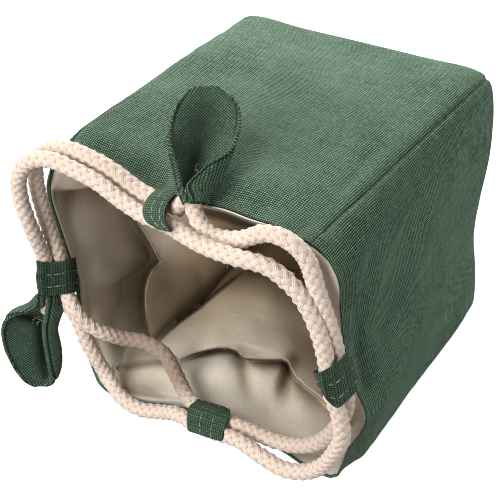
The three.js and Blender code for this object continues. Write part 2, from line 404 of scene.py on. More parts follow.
n = Nodes("lining")
p = n.position()
fine = n.noise(p, 900.0, 2.0)
broad = n.noise(p, 45.0, 3.0)
c = n.mix(n.ramp(fine, 0.3, 0.7), (0.55, 0.507, 0.43), (0.625, 0.58, 0.50))
c = n.mix(n.ramp(broad, 0.3, 0.7, 0.0, 0.25), c, (0.54, 0.485, 0.40))
# painted shade tint: shaded and deep cloth turns browner, as light bounced inside the pouch makes it
c = n.mix(n.attribute("painted_shade_tint"), c, (1.0, 0.76, 0.50), "MULTIPLY")
# painted shade: the cloth darkens in the folds and deep inside the pouch
c = n.mix(n.attribute("painted_fold_shade"), c, (0.040, 0.024, 0.011))
n.bump(n.math("ADD", n.math("MULTIPLY", fine, 0.12), n.math("ADD", n.math("MULTIPLY", n.noise(p, 220.0, 2.0), 0.22), n.noise(p, 70.0, 2.0))), 0.30, 0.0016)
lining_cloth = n.finish(c, 0.85, sheen=0.06, sheen_rough=0.5, specular=0.1)

PLAITS, LAY = 4, 16.5    # strands each way in the braided cord, and the length of one turn
n = Nodes("cord")
p = n.position()
along, turns = n.uv(1.0)
turns = n.math("MULTIPLY", turns, 0.1)
pa = n.math("MULTIPLY", n.math("SUBTRACT", turns, n.math("DIVIDE", along, LAY)), PLAITS)
pb = n.math("MULTIPLY", n.math("ADD", turns, n.math("DIVIDE", along, LAY)), PLAITS)
a = n.math("COSINE", n.math("MULTIPLY", pa, math.pi))
b = n.math("COSINE", n.math("MULTIPLY", pb, math.pi))
o = n.math("MULTIPLY", a, b)
ha = n.math("MULTIPLY", n.math("ABSOLUTE", a), n.math("MULTIPLY_ADD", o, 0.42, 0.58))
hb = n.math("MULTIPLY", n.math("ABSOLUTE", b), n.math("MULTIPLY_ADD", o, -0.42, 0.58))
crest = n.math("MAXIMUM", ha, hb)
on_a = n.math("GREATER_THAN", ha, hb)
across = n.math("ADD", n.math("MULTIPLY", pa, on_a), n.math("MULTIPLY", pb, n.math("SUBTRACT", 1.0, on_a)))
yarn = n.math("COSINE", n.math("MULTIPLY", across, 8 * math.pi))         # four yarns lie side by side in a strand
fibre = n.noise(p, 1400.0, 3.0, 0.65)
fleck = n.noise(p, 420.0, 2.0, 0.7)
# painted shade: darker where the strands dip between crests, between yarns, and along the lines between strands
c = n.mix(n.ramp(crest, 0.05, 0.42), (0.44, 0.31, 0.225), (0.715, 0.58, 0.485))
c = n.mix(n.ramp(yarn, -1.0, -0.2, 0.22, 0.0), c, (0.55, 0.40, 0.29))
strand_gap_shade = n.math("MULTIPLY", n.ramp(n.math("ABSOLUTE", n.math("SUBTRACT", ha, hb)), 0.0, 0.20, 1.0, 0.0), n.ramp(n.noise(p, 260.0, 2.0), 0.36, 0.60, 0.15, 0.74))
c = n.mix(strand_gap_shade, c, (0.36, 0.22, 0.14))
c = n.mix(n.ramp(fibre, 0.35, 0.7, 0.0, 0.35), c, (0.85, 0.725, 0.625))
c = n.mix(n.ramp(fleck, 0.62, 0.76, 0.0, 0.45), c, (0.55, 0.36, 0.23))
# painted shade on the stretch of cord that hangs inside the mouth
c = n.mix(n.attribute("inside"), c, (0.20, 0.135, 0.09))
n.bump(n.math("ADD", n.math("MULTIPLY", yarn, 0.35), n.math("ADD", n.math("MULTIPLY", fibre, 0.7), n.math("MULTIPLY", fleck, 0.4))), 0.42, 0.0004)
braid = n.finish(c, 0.95, sheen=0.25, sheen_rough=0.6, specular=0.06)

n = Nodes("thread")
c = n.mix(n.ramp(n.noise(n.position(), 1500.0, 2.0), 0.3, 0.7), (0.34, 0.32, 0.23), (0.56, 0.52, 0.41))
n.bump(n.noise(n.position(), 2500.0, 2.0), 0.4, 0.0002)
thread = n.finish(c, 0.8, specular=0.15)

n = Nodes("fibre_core")
c = n.mix(n.noise(n.position(), 300.0, 3.0), (0.80, 0.79, 0.76), (0.93, 0.92, 0.9))
wool = n.finish(c, 1.0, sheen=0.2)


# ---------------------------------------------------------------- canvas outer
# The rim as it lies open, and the edge of the base, each as four sides from corner to
# corner: top, right, under, left, clockwise for someone who looks into the mouth.
RIM = [
    [(-63.0, 0.5, 123.8), (-48.0, 0.0, 122.6), (-31.5, 0.0, 120.6), (-14.4, 0.0, 118.2), (-4.0, 0.0, 120.4), (2.5, 0.0, 122.4),
     (11.7, 0.0, 123.0), (23.3, 0.0, 124.3), (33.9, 0.0, 123.8), (47.0, 0.0, 123.8), (54.3, 0.0, 121.9), (61.4, 0.0, 121.2)],
    [(61.4, 0.0, 121.2), (67.0, -0.3, 117.5), (71.6, -0.3, 110.2), (72.6, 0.0, 104.0), (72.4, 0.0, 95.3), (73.2, 0.0, 75.4), (75.8, 0.0, 63.2),
     (78.2, 0.0, 54.3), (81.2, 0.0, 47.0), (81.8, 0.0, 41.0), (78.8, 0.0, 32.2), (72.6, 0.0, 19.9), (69.0, -1.0, 8.5), (65.5, -1.5, 1.6)],
    [(65.5, -1.5, 1.6), (55.5, -3.2, 1.2), (39.3, -0.2, 1.0), (10.0, 1.0, 0.9), (-17.4, -2.0, 0.9), (-32.0, -7.6, 1.1), (-46.3, -11.0, 1.5), (-57.0, -9.6, 2.8)],
    [(-57.0, -9.6, 2.8), (-62.5, -7.0, 6.4), (-66.5, -5.0, 13.5), (-70.6, -2.6, 24.0), (-71.8, -0.8, 35.0), (-70.2, 0.0, 50.0), (-69.8, 0.0, 57.0),
     (-71.9, 0.0, 66.4), (-73.7, 0.0, 79.0), (-75.6, 0.0, 93.7), (-75.2, 0.0, 102.2), (-70.5, 0.0, 113.0), (-66.4, 0.3, 120.4), (-63.0, 0.5, 123.8)],
]
BASE = [
    [(-62.8, 137.0, 123.4), (-30.0, 137.0, 123.2), (0.0, 137.0, 122.4), (35.0, 137.0, 121.0), (65.1, 137.0, 118.8)],
    [(65.1, 137.0, 118.8), (67.2, 137.0, 106.0), (67.0, 137.0, 86.0), (62.4, 137.0, 60.0), (59.4, 137.0, 41.0), (60.4, 137.0, 20.0), (60.4, 137.0, 1.4)],
    [(60.4, 137.0, 1.4), (30.0, 137.0, 1.0), (-30.0, 137.0, 1.0), (-62.5, 137.0, 1.4)],
    [(-62.5, 137.0, 1.4), (-65.0, 137.0, 30.0), (-65.5, 137.0, 62.0), (-65.0, 137.0, 95.0), (-62.8, 137.0, 123.4)],
]
SIDE_NAMES = ("top", "right", "under", "left")
COLS = 112               # columns in each wall
EDGE_R = 7.5             # roundness of the base's edge
BELLY = 1.6


def closed_curve(sides, n):
    """n points for each side, evenly along it, on one smooth closed curve."""
    pts, corner = [], []
    for s in sides:
        corner.append(len(pts))
        pts += s[:-1]
    dense = spline(pts, 24, closed=True)
    dense = np.vstack([dense, dense[:1]])
    marks = [c * 24 for c in corner] + [len(dense) - 1]
    return np.stack([resample(dense[a : b + 1], n + 1)[:n] for a, b in zip(marks[:-1], marks[1:])])


rim_pts = closed_curve(RIM, COLS)            # 4 x COLS x 3
base_pts = closed_curve(BASE, COLS)


def straight(curve):
    ends = curve[:, 0]
    f = np.linspace(0, 1, COLS + 1)[:COLS][None, :, None]
    return ends[:, None] * (1 - f) + np.roll(ends, -1, 0)[:, None] * f


rim_line, base_line = straight(rim_pts).reshape(-1, 3), straight(base_pts).reshape(-1, 3)
rim_pts, base_pts = rim_pts.reshape(-1, 3), base_pts.reshape(-1, 3)
N = 4 * COLS
frac = np.tile(np.arange(COLS) / COLS, 4)
side = np.repeat(np.arange(4), COLS)


def ring_blur(ring, sigma):
    k = np.fft.rfftfreq(N)[:, None] * 2 * np.pi
    return np.fft.irfft(np.fft.rfft(ring, axis=0) * np.exp(-0.5 * (k * sigma) ** 2), n=N, axis=0)


def ring_out(ring):
    """Outward directions of a ring, level with it."""
    t = np.roll(ring, -1, 0) - np.roll(ring, 1, 0)
    t[:, 1] = 0
    return unit(np.stack([-t[:, 2], 0 * t[:, 0], t[:, 0]], 1))


def seam_shape(ring, deep=1.0):
    """The dip at the four seams and the fullness beside them, outwards."""
    step = np.linalg.norm(np.roll(ring, -1, 0) - ring, axis=1)
    length = np.array([step[side == k].sum() for k in range(4)])[side]
    d = np.minimum(frac, 1 - frac) * length
    return -0.85 * deep * np.exp(-((d / 0.8) ** 2)) + 0.22 * deep * np.exp(-(((d - 4.5) / 3.4) ** 2)), d


# behind the rim the corners stand further out: top left, top right, lower right, lower left,
# a little behind the rim and at the base
FULL_FRONT = np.array([(-1.8, 0.0, 3.0), (0.8, 0.0, 2.0), (5.0, 0.0, -0.4), (-1.0, 0.0, -0.4)])
FULL_BACK = np.array([(-1.8, 0.0, 3.4), (2.4, 0.0, 7.2), (6.0, -9.0, -0.4), (-1.0, 0.0, -0.4)])


def fullness(v):
    off = FULL_FRONT * smooth(v, 0.0, 0.14) + (FULL_BACK - FULL_FRONT) * smooth(v, 0.1, 1.0)
    f = frac[:, None]
    return off[side] * (1 - f) + off[(side + 1) % 4] * f


PUFF = np.array([3.6, 2.6, 0.0, 2.6])
v_rows = np.r_[np.linspace(0, 0.06, 9)[:-1], np.linspace(0.06, 0.9, 86)[:-1], np.linspace(0.9, 1.0, 14)]
y_end = 137.0 - EDGE_R
rows, row_len = [], []
for v in v_rows:
    ring = (rim_line * (1 - v) + base_line * v + (rim_pts - rim_line) * (1 - v) ** BELLY + (base_pts - base_line) * v**2)
    ring[:, 1] = (rim_pts[:, 1] * (1 - v) ** 1.3) + y_end * v
    ring = ring + fullness(v)
    soft = ring_blur(ring, 3.2 + 3.0 * smooth(v, 0.6, 1.0))
    k = smooth(v, 0.0, 0.12)
    ring = ring * (1 - k) + soft * k
    out = ring_out(ring)
    dip, d = seam_shape(ring, 0.35 + 0.65 * smooth(v, 0, 0.05))
    puff = PUFF[side] * np.sin(np.pi * frac) ** 0.8 * np.where(side == 0, math.sin(math.pi * min(v, 1) ** 0.7), math.sin(math.pi * min(v, 1))).clip(0, 1) ** 0.8
    pucker = (0.26 + 0.40 * (1 - smooth(v, 0.03, 0.30))) * noise_2d(np.arange(N) * 0.4, np.full(N, v * 137.0), 5, 5.0) * np.exp(-((d / 5.0) ** 2))
    ring = ring + out * (dip + puff + pucker)[:, None]
    rows.append(ring)
# round the edge of the base as far as its seam
for phi in np.radians(np.linspace(7.5, 45, 6)):
    ring = rows[len(v_rows) - 1].copy()
    ring = ring - ring_out(ring) * (EDGE_R * (1 - math.cos(phi)))
    ring[:, 1] += EDGE_R * math.sin(phi) - 0.55 * smooth(math.degrees(phi), 34, 45)
    rows.append(ring)
shell = np.stack(rows)                        # rows x N x 3


def side_of(px, py, line):
    """Signed distance to a line of points, positive on its right as it runs, and the place along it."""
    line = np.asarray(line, float)
    p = np.stack([np.ravel(px), np.ravel(py)], 1)
    best, sign, place = np.full(len(p), 1e9), np.ones(len(p)), np.zeros(len(p))
    s = arc(line)
    for i in range(len(line) - 1):
        a, b = line[i], line[i + 1]
        d = b - a
        t = ((p - a) @ d) / (d @ d)
        tc = np.clip(t, 0, 1)
        dist = np.linalg.norm(p - a - tc[:, None] * d, axis=1)
        cr = d[0] * (p[:, 1] - a[1]) - d[1] * (p[:, 0] - a[0])
        near = dist < best
        best = np.where(near, dist, best)
        sign = np.where(near, np.where(cr > 0, 1.0, -1.0), sign)
        place = np.where(near, s[i] + tc * (s[i + 1] - s[i]), place)
    return (best * sign).reshape(np.shape(px)), (place / s[-1]).reshape(np.shape(px))


# soft dents and ridges of the canvas: the wall, a line as the camera sees it, width there, height in mm
DENTS = [
    (1, [(374, 255), (363, 300), (357, 340), (364, 385)], 6.0, -1.5),
    (1, [(482, 232), (458, 320), (428, 412)], 8.0, 1.3),
    (1, [(464, 232), (441, 310), (412, 398)], 8.0, -1.0),
    (1, [(443, 175), (418, 265), (396, 345)], 11.0, 1.0),
    (1, [(421, 180), (399, 260), (382, 332)], 8.0, -0.8),
    (1, [(480, 130), (470, 190)], 10.0, -0.9),
    (0, [(262, 118), (290, 135), (330, 141)], 14.0, -1.1),
    (0, [(396, 153), (358, 196)], 8.0, 0.8),
    (0, [(377, 150), (341, 190)], 7.0, -0.7),
    (0, [(250, 145), (228, 178), (236, 205)], 10.0, -1.3),
    (0, [(100, 152), (140, 172), (160, 185)], 9.0, -1.2),
    (0, [(310, 60), (380, 85), (440, 100)], 12.0, -0.7),
]
seen = in_frame(shell.reshape(-1, 3)).reshape(shell.shape[0], N, 2)
outs = np.stack([ring_out(r_) for r_ in shell])
inner_part = smooth(np.minimum(frac, 1 - frac), 0.0, 0.06)[None]
for wall_, line_, wide_, high_ in DENTS:
    d_, t_ = side_of(seen[..., 0], seen[..., 1], line_)
    amount = high_ * np.exp(-((d_ / wide_) ** 2)) * (side == wall_)[None] * inner_part
    amount[:4] *= np.linspace(0, 1, 4)[:, None]
    shell = shell + outs * amount[..., None]


def floor_clear(p, low=0.35):
    p = p.copy()
    z = p[..., 2]
    p[..., 2] = np.where(z < 3, low + (3 - low) * np.maximum(0, np.tanh((z - low) / (3 - low)) / math.tanh(1.0)), z)
    return p


shell = floor_clear(shell)
run = np.concatenate([[np.zeros(N)], np.cumsum(np.linalg.norm(np.diff(shell, axis=0), axis=2), axis=0)])
around = np.stack([frac * 126.0 for _ in range(len(shell))])

# the rim is turned in: a wide turn on the left and under, a bare edge on top and right
TURN = ring_blur(np.array([0.30, 0.32, 0.75, 0.95])[side][:, None], 5.0)[:, 0]
rim_out = ring_out(shell[0])
turn_rows, turn_run = [], []
for k, psi in enumerate(np.radians([180, 150, 120, 90, 60, 30])):
    p = shell[0] - rim_out * (TURN * (1 - math.cos(psi)))[:, None]
    p[:, 1] -= TURN * math.sin(psi)
    turn_rows.append(p)
    turn_run.append(-TURN * psi)
inner = turn_rows[0].copy()
inner[:, 1] += 2.2
shell_all = np.concatenate([[inner], turn_rows, shell])
run_all = np.concatenate([[turn_run[0] - 2.2], turn_run, run])
around_all = np.concatenate([around[:1]] * 7 + [around])
lining_edge = turn_rows[0] + np.array([0, 0.3, 0])


def side_columns(k):
    return np.r_[np.arange(k * COLS, (k + 1) * COLS), ((k + 1) * COLS) % N]


panels = {}
for k, name in enumerate(SIDE_NAMES):
    cols = side_columns(k)
    p = shell_all[:, cols]
    uv = np.stack([around_all[:, cols], run_all[:, cols]], -1)
    uv[:, -1, 0] = 126.0
    uv[..., 0] += k * 313.7
    crisp = 1.0 - 0.55 * smooth(p[..., 1], 20, 125)
    panels[name] = (p, uv, crisp)

# the base: the rest of its rounded edge, then in to the middle
base_rows = []
last = rows[len(v_rows) - 1]
for phi in np.radians(np.linspace(45, 90, 7)):
    ring = last - ring_out(last) * (EDGE_R * (1 - math.cos(math.pi / 4)))
    ring = ring.mean(0) + (ring - ring.mean(0)) * (1 - EDGE_R * (math.cos(math.pi / 4) - math.cos(phi)) / 61.0)
    ring[:, 1] = last[:, 1] + EDGE_R * math.sin(phi) - 0.55 * smooth(90 - math.degrees(phi), 34, 45)
    base_rows.append(floor_clear(ring))
edge = base_rows[-1]
centre = edge.mean(0)
for s in np.linspace(0.97, 0.02, 30):
    ring = centre + (edge - centre) * s
    from_middle = (ring - centre) / np.abs(edge - centre).max(0)
    ring[:, 1] -= 0.9 * (1 - from_middle[:, 0] ** 2).clip(0, 1) * (1 - from_middle[:, 2] ** 2).clip(0, 1)
    base_rows.append(floor_clear(ring) if s > 0.9 else ring)
base_p = np.stack(base_rows)
base_uv = np.stack([base_p[..., 0] + 700, base_p[..., 2]], -1)

for name, (p, uv, crisp) in panels.items():
    r, c_ = p.shape[:2]
    flat = p.reshape(-1, 3)
    obj = make(f"canvas_{name}", flat, grid_faces(r, c_), canvas, uv.reshape(-1, 2), {"crisp": crisp.ravel()})
    follow_walls(obj, flat)
    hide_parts(f"outer_{name}", f"wadding_{name}")
middle = base_p[-1].mean(0)
base_flat = np.concatenate([base_p.reshape(-1, 3), [middle]])
base_faces = grid_faces(len(base_p), N, wrap_cols=True).tolist()
turn_in = len(base_flat) - 1 - N
base_faces += [[turn_in + k, turn_in + (k + 1) % N, len(base_flat) - 1] for k in range(N)]
obj = make("canvas_base", base_flat, base_faces, canvas, np.concatenate([base_uv.reshape(-1, 2), [[middle[0] + 700, middle[2]]]]),
           {"crisp": np.full(len(base_flat), 0.8)})
follow_walls(obj, base_flat)
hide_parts("outer_base", "wadding_base")


# ---------------------------------------------------------------- lining
# The loose lining is one sheet that starts at the rim and falls in folds inside. Each fold
# is a smooth surface through a few points: two place it in the open mouth, as seen by the
# camera, and the third is how many millimetres it lies behind the plane of the mouth.
def surface(points, stiff=2.0):
    q = np.array(points, float)
    xy, w = q[:, :2] / 100.0, q[:, 2]
    def kernel(d2):
        return 0.5 * d2 * np.log(np.maximum(d2, 1e-12))
    d2 = ((xy[:, None] - xy[None]) ** 2).sum(-1)
    m = len(q)
    a = np.zeros((m + 3, m + 3))
    a[:m, :m] = kernel(d2) + np.eye(m) * stiff * 1e-3
    a[:m, m] = a[m, :m] = 1
    a[:m, m + 1 :] = xy
    a[m + 1 :, :m] = xy.T
    sol = np.linalg.solve(a, np.r_[w, 0, 0, 0])
    def at(px, py):
        s = np.stack([np.ravel(px), np.ravel(py)], 1) / 100.0
        d2 = ((s[:, None] - xy[None]) ** 2).sum(-1)
        return (kernel(d2) @ sol[:m] + sol[m] + s @ sol[m + 1 :]).reshape(np.shape(px))
    return at


def lip(s, round_px, drop, steep=7.0):
    """Extra depth at a fold's edge: it rounds off inside the edge and falls away outside it."""
    t = np.clip(1 - s / round_px, 0, 1)
    return drop * (1 - np.sqrt(np.maximum(1 - t * t, 0.0))) + np.where(s < 0, -s * steep, 0)


WALL_FRONT = surface([
    (53, 167, 0), (50, 190, 0), (54, 206, 1), (61, 235, 1), (67, 256, 1), (76, 285, 1), (80, 320, 0), (86, 345, -3), (93, 361, -7), (101, 376, -10), (112, 391, -14),
    (70, 170, 2), (90, 176, 10), (64, 200, 8), (80, 205, 17), (100, 205, 34), (120, 205, 54), (80, 230, 14), (100, 230, 33), (125, 225, 60), (110, 250, 39), (130, 250, 60),
    (90, 265, 14), (100, 270, 22), (120, 285, 44), (150, 270, 82), (95, 300, 14), (110, 310, 28), (130, 310, 52), (150, 310, 78), (100, 330, 10), (120, 335, 30), (140, 325, 56), (110, 345, 12), (130, 350, 28),
    (150, 350, 44), (120, 362, 10), (135, 364, 20), (155, 360, 38), (170, 355, 50), (190, 345, 66),
    (130, 376, 2), (150, 376, 12), (140, 390, -6), (165, 392, 2), (180, 385, 12), (180, 370, 26),
])
FLOOR_FRONT = surface([
    (112, 391, -14), (130, 398, -14), (144, 405, -12), (178, 410, -7), (210, 425, -5), (250, 440, -5), (290, 455, -4), (325, 465, 0),
    (136, 378, 2), (150, 376, 8), (160, 385, 4), (165, 372, 12), (180, 380, 12), (200, 370, 24), (219, 387, 20), (225, 360, 40), (246, 385, 34), (260, 370, 48), (284, 385, 50), (288, 368, 64),
    (300, 400, 42), (320, 410, 44), (250, 420, 10), (290, 430, 16), (315, 440, 12), (180, 395, 2), (205, 400, 8), (270, 410, 28), (180, 352, 42), (200, 340, 60), (250, 340, 78), (300, 350, 100), (335, 400, 60),
    (140, 360, 20), (130, 345, 30),
])
BIG_FOLD = surface([
    (180, 361, 24), (196, 354, 32), (219, 349, 40), (237, 351, 44), (245, 358, 40), (265, 360, 48), (287, 361, 56), (293, 376, 50), (310, 390, 46), (329, 405, 44),
    (209, 325, 62), (190, 338, 50), (230, 335, 58), (260, 320, 84), (255, 345, 58), (240, 300, 96), (270, 300, 106), (300, 330, 98), (300, 300, 124), (320, 350, 96), (330, 380, 76), (290, 345, 74),
    (242, 270, 138), (215, 290, 108), (180, 320, 72), (159, 341, 44), (200, 280, 134), (170, 310, 94), (150, 335, 66), (280, 260, 156), (320, 290, 140), (345, 330, 130), (345, 400, 80), (170, 355, 32),
])
WALL_FOLD = surface([
    (132, 212, 42), (145, 235, 54), (159, 260, 64), (153, 268, 54), (146, 284, 42), (145, 300, 36), (147, 320, 34), (149, 333, 35), (157, 341, 42),
    (150, 220, 57), (160, 240, 66), (175, 240, 75), (175, 260, 79), (200, 250, 94), (200, 275, 103), (170, 300, 66), (195, 295, 92), (165, 280, 70), (160, 320, 50), (175, 315, 68),
    (230, 225, 114), (260, 245, 146), (242, 270, 140), (215, 290, 112), (180, 320, 76), (159, 341, 46), (290, 245, 170), (240, 300, 150), (210, 320, 114), (190, 335, 92), (170, 350, 70),
    (200, 215, 92), (170, 212, 73), (320, 260, 190),
])
FOLD_EDGE = [(128, 203), (132, 212), (139, 224), (147, 237), (154, 250), (160, 261), (156, 266), (152, 270), (148, 279), (145.5, 289), (145, 300), (145.5, 312), (147, 324), (150, 334), (156, 341), (163, 347)]
BIG_EDGE = [(150, 352), (165, 356), (180, 360), (188, 356.5), (197, 353), (208, 350), (219, 348), (230, 348.6), (237, 350.5), (241, 355), (246, 358.5), (256, 359.4), (270, 359.6), (283, 359.8), (288.5, 362), (291, 369), (295, 377), (305, 386), (318, 396), (331, 407), (345, 418)]


def wave(px, py, line, width, depth, fade=(0.0, 0.0)):
    """A soft groove (depth > 0) or ridge along a line, in the same terms."""
    d, t = side_of(px, py, line)
    ends = 1.0
    if fade[0]:
        ends = ends * smooth(t, 0.0, fade[0])
    if fade[1]:
        ends = ends * smooth(1 - t, 0.0, fade[1])
    return depth * np.exp(-((d / width) ** 2)) * ends


def pleat(px, py, line, rise, fall, back, fade=(0.0, 0.0), crisp=0.9):
    """Along a line the cloth stands forward on its left, and on its right falls back and comes out again."""
    d, t = side_of(px, py, line)
    ends = 1.0
    if fade[0]:
        ends = ends * smooth(t, 0.0, fade[0])
    if fade[1]:
        ends = ends * smooth(1 - t, 0.0, fade[1])
    past = smooth(d, -crisp, crisp)
    return ends * (fall * np.exp(-np.maximum(d, 0) / back) * past - rise * np.exp(-((d / 14.0) ** 2)) * (1 - past))


SLOT = [(265, 255.5), (248, 269.5), (233, 281.5), (218, 293.3), (199.5, 309), (181.5, 321.8), (169, 332), (158.5, 342.5)]


def folds(px, py):
    s1, _ = side_of(px, py, FOLD_EDGE)
    s2, t2 = side_of(px, py, BIG_EDGE)
    sv, tv = side_of(px, py, SLOT)
    wall = WALL_FRONT(px, py)
    wall = wall + pleat(px, py, [(46, 191.5), (64, 190), (78, 189), (98, 185.5)], 2.5, 7.0, 15.0, (0, 0.55))
    wall = wall + pleat(px, py, [(97, 290), (128, 277), (164, 260)], 1.5, 10.0, 11.0, (0.75, 0))
    wall = wall + wave(px, py, [(108, 371), (125, 367), (145, 364), (163, 362)], 4.0, 6.0, (0.3, 0.0))
    wall = wall + 6.0 * np.exp(-np.maximum(s1, 0) / 8.0)
    floor = FLOOR_FRONT(px, py)
    floor = floor + wave(px, py, [(240, 350), (244, 365), (248, 385), (251, 415)], 7.0, 2.2, (0, 0.6))
    floor = floor + wave(px, py, [(292, 360), (287, 378), (283, 395), (280, 414)], 7.0, 4.6, (0, 0.6))
    floor = floor + 6.5 * np.exp(-np.maximum(s2, 0) / 6.0) * smooth(t2, 0.15, 0.3)
    fold = WALL_FOLD(px, py) + lip(-s1, 2.0, 0.15, 14.0)
    fold = fold + (26.0 - 14.0 * tv) * np.exp(-np.maximum(sv, 0) / 8.5)
    big = BIG_FOLD(px, py) + lip(-s2, 2.0, 0.15, 14.0)
    big = big + np.maximum(sv, 0) * 8.0 * smooth(1 - tv, 0.0, 0.1)
    big = big - wave(px, py, [(252, 350), (256, 335), (262, 318)], 14.0, 1.0, (0.2, 0.6))
    return np.minimum(np.minimum(wall, floor), np.minimum(fold, big))


def fold_shade_amount(px, py):
    """How much painted shade the cloth gets beside and behind the fold edges and in the slot between folds, 0 to 1."""
    s1, t1 = side_of(px, py, FOLD_EDGE)
    s2, t2 = side_of(px, py, BIG_EDGE)
    sv, tv = side_of(px, py, SLOT)
    sc, tc = side_of(px, py, [(46, 191.5), (64, 190), (78, 189), (98, 185.5)])
    sn, tn = side_of(px, py, [(97, 290), (128, 277), (162, 261)])
    out = np.interp(t1, [0, 0.3, 0.42, 0.5, 0.9, 1.0], [0.22, 0.36, 0.68, 0.90, 0.90, 0.5]) * smooth(s1, -0.6, 0.6) * np.exp(-np.maximum(s1, 0) / np.interp(t1, [0, 0.4, 0.5, 1], [16, 9, 12, 16]))
    out = np.maximum(out, np.interp(t2, [0, 0.12, 0.25, 0.45, 0.62, 0.72, 0.85, 1.0], [0.0, 0.45, 0.70, 0.80, 0.62, 0.78, 0.55, 0.3]) * smooth(s2, -0.5, 0.6) * np.exp(-np.maximum(s2, 0) / np.interp(t2, [0, 0.5, 0.7, 0.8, 1], [5, 4.5, 8, 8, 5])))
    out = np.maximum(out, (0.97 - 0.30 * tv) * smooth(sv, -2.5, 0.5) * np.exp(-np.maximum(sv - 0.5, 0) / (13.0 - 6 * tv)))
    out = np.maximum(out, (0.66 - 0.40 * tv) * np.exp(-((np.maximum(sv, 0) / 50.0) ** 2)) * smooth(sv, -2.5, 0.5) * smooth(-s1, 0.0, 8.0))
    out = np.maximum(out, 0.22 * np.exp(-(((px - 203) / 30.0) ** 2) - ((py - 328) / 20.0) ** 2) * smooth(-sv, 0.0, 4.0))
    out = np.maximum(out, 0.80 * smooth(sc, -0.6, 0.8) * np.exp(-((np.maximum(sc, 0) / 24.0) ** 2)) * smooth(px, 54, 72))
    out = np.maximum(out, 0.28 * smooth(-sc, 0.0, 5.0) * smooth(112 - px, 0.0, 12.0))
    out = np.maximum(out, 0.44 * np.exp(-(((px - 150) / 26.0) ** 2) - ((py - 390) / 15.0) ** 2))
    out = np.maximum(out, wave(px, py, [(292, 360), (287, 378), (283, 395), (280, 412)], 7.5, 0.66, (0, 0.55)))
    out = np.maximum(out, wave(px, py, [(240, 350), (244, 365), (248, 385), (251, 415)], 6.5, 0.32, (0, 0.6)))
    out = np.maximum(out, 0.50 * smooth(sn, -0.8, 1.5) * np.exp(-np.maximum(sn, 0) / 15.0) * smooth(tn, 0.1, 0.9) * smooth(-s1 * -1.0, -1.0, 1.0))
    low = wave(px, py, [(106, 371), (125, 367), (145, 364), (163, 362)], 5.0, 0.55, (0.3, 0.0))
    return np.maximum(out, low)


MIDDLE = np.array([200.0, 305.0])
M = 520
edge_3d = resample(np.vstack([lining_edge, lining_edge[:1]]), M + 1)[:M]
edge_side = np.interp(np.linspace(0, arc(np.vstack([lining_edge, lining_edge[:1]]))[-1], M + 1)[:M],
                      arc(np.vstack([lining_edge, lining_edge[:1]])), np.r_[side + frac, 4.0])
peek = smooth(edge_side, 0.02, 0.1) * smooth(1.12 - edge_side, 0.0, 0.1)            # the lining shows past the canvas on top
edge_3d[:, 1] -= 1.1 * peek
edge_px = in_frame(edge_3d)
span = np.linalg.norm(edge_px - MIDDLE, axis=1)
radial = np.r_[1 - np.linspace(0, 0.10, 22)[:-1], np.linspace(0.90, 0.012, 190)]
px = MIDDLE[0] + (edge_px[:, 0] - MIDDLE[0])[None] * radial[:, None]
py = MIDDLE[1] + (edge_px[:, 1] - MIDDLE[1])[None] * radial[:, None]
inwards = (1 - radial)[:, None] * span[None]                       # distance from the rim, as seen
sight = line_of_sight(px, py)
reach = (0 - EYE[1]) / sight[..., 1]
edge_depth = np.linalg.norm(edge_3d - EYE, axis=1) - reach[0]
depth = folds(px, py)
joined = smooth(edge_side, 2.0, 2.15) * smooth(4.06 - edge_side, 0.0, 0.12)         # under and left the folds start at the rim
joined = np.maximum(joined, smooth(0.02 - edge_side, -0.03, 0.0))
start = edge_depth[None] + (depth - edge_depth[None]) * smooth(inwards, 0.0, 9.0)
lip_width = np.interp(edge_side, [0, 0.05, 0.9, 1.02, 1.15, 1.6, 1.75, 1.9, 2.0, 2.1, 4], [1.2, 1.6, 2.0, 6, 17, 15, 17, 17, 12, 3, 2])
over = edge_depth[None] + np.where(inwards < lip_width, -0.8 * np.sin(np.pi * np.clip(inwards / np.maximum(lip_width, 4)[None], 0, 1)), (inwards - lip_width) * 60.0)
free = np.minimum(depth, over)
depth = start * joined[None] + free * (1 - joined[None])
for _ in range(2):
    depth[1:-1] = 0.5 * depth[1:-1] + 0.125 * (depth[:-2] + depth[2:]) + 0.125 * (np.roll(depth, 1, 1)[1:-1] + np.roll(depth, -1, 1)[1:-1])
# it stays inside the canvas
tree = BVHTree.FromPolygons([tuple(q) for q in shell.reshape(-1, 3)] + [tuple(q) for q in base_p.reshape(-1, 3)],
                            grid_faces(len(shell), N, wrap_cols=True).tolist() + (grid_faces(len(base_p), N, wrap_cols=True) + shell.shape[0] * N).tolist())
limit = np.full(depth.shape, 400.0)
for i in range(0, depth.shape[0]):
    for j in range(0, M, 2):
        hit = tree.ray_cast(Vector(EYE + (reach[i, j] + 3.0) * sight[i, j]), Vector(sight[i, j]))
        if hit[0] is not None:
            limit[i, j] = hit[3] + 3.0 - 2.2
limit[:, 1::2] = np.minimum(limit[:, ::2], np.roll(limit[:, ::2], -1, 1))
room = smooth(inwards, 2.0, 12.0)
near_wall = np.minimum(depth, limit)
depth = depth * (1 - room) + near_wall * room
lining_p = EYE + (reach + depth)[..., None] * sight
lining_p[..., 2] = np.maximum(lining_p[..., 2], 1.6)
lining_p[0] = edge_3d
# painted shade: how far each place lies in a hollow of the folds, and how deep it lies in the pouch
broad = depth.copy()
for _ in range(60):
    broad[1:-1] = 0.5 * broad[1:-1] + 0.125 * (broad[:-2] + broad[2:]) + 0.125 * (np.roll(broad, 1, 1)[1:-1] + np.roll(broad, -1, 1)[1:-1])
painted_fold_shade = np.clip((depth - broad) / 6.0, 0, 1) * 0.6 + 0.9 * smooth(depth, 95.0, 146.0)
painted_fold_shade = np.maximum(painted_fold_shade, fold_shade_amount(px, py))
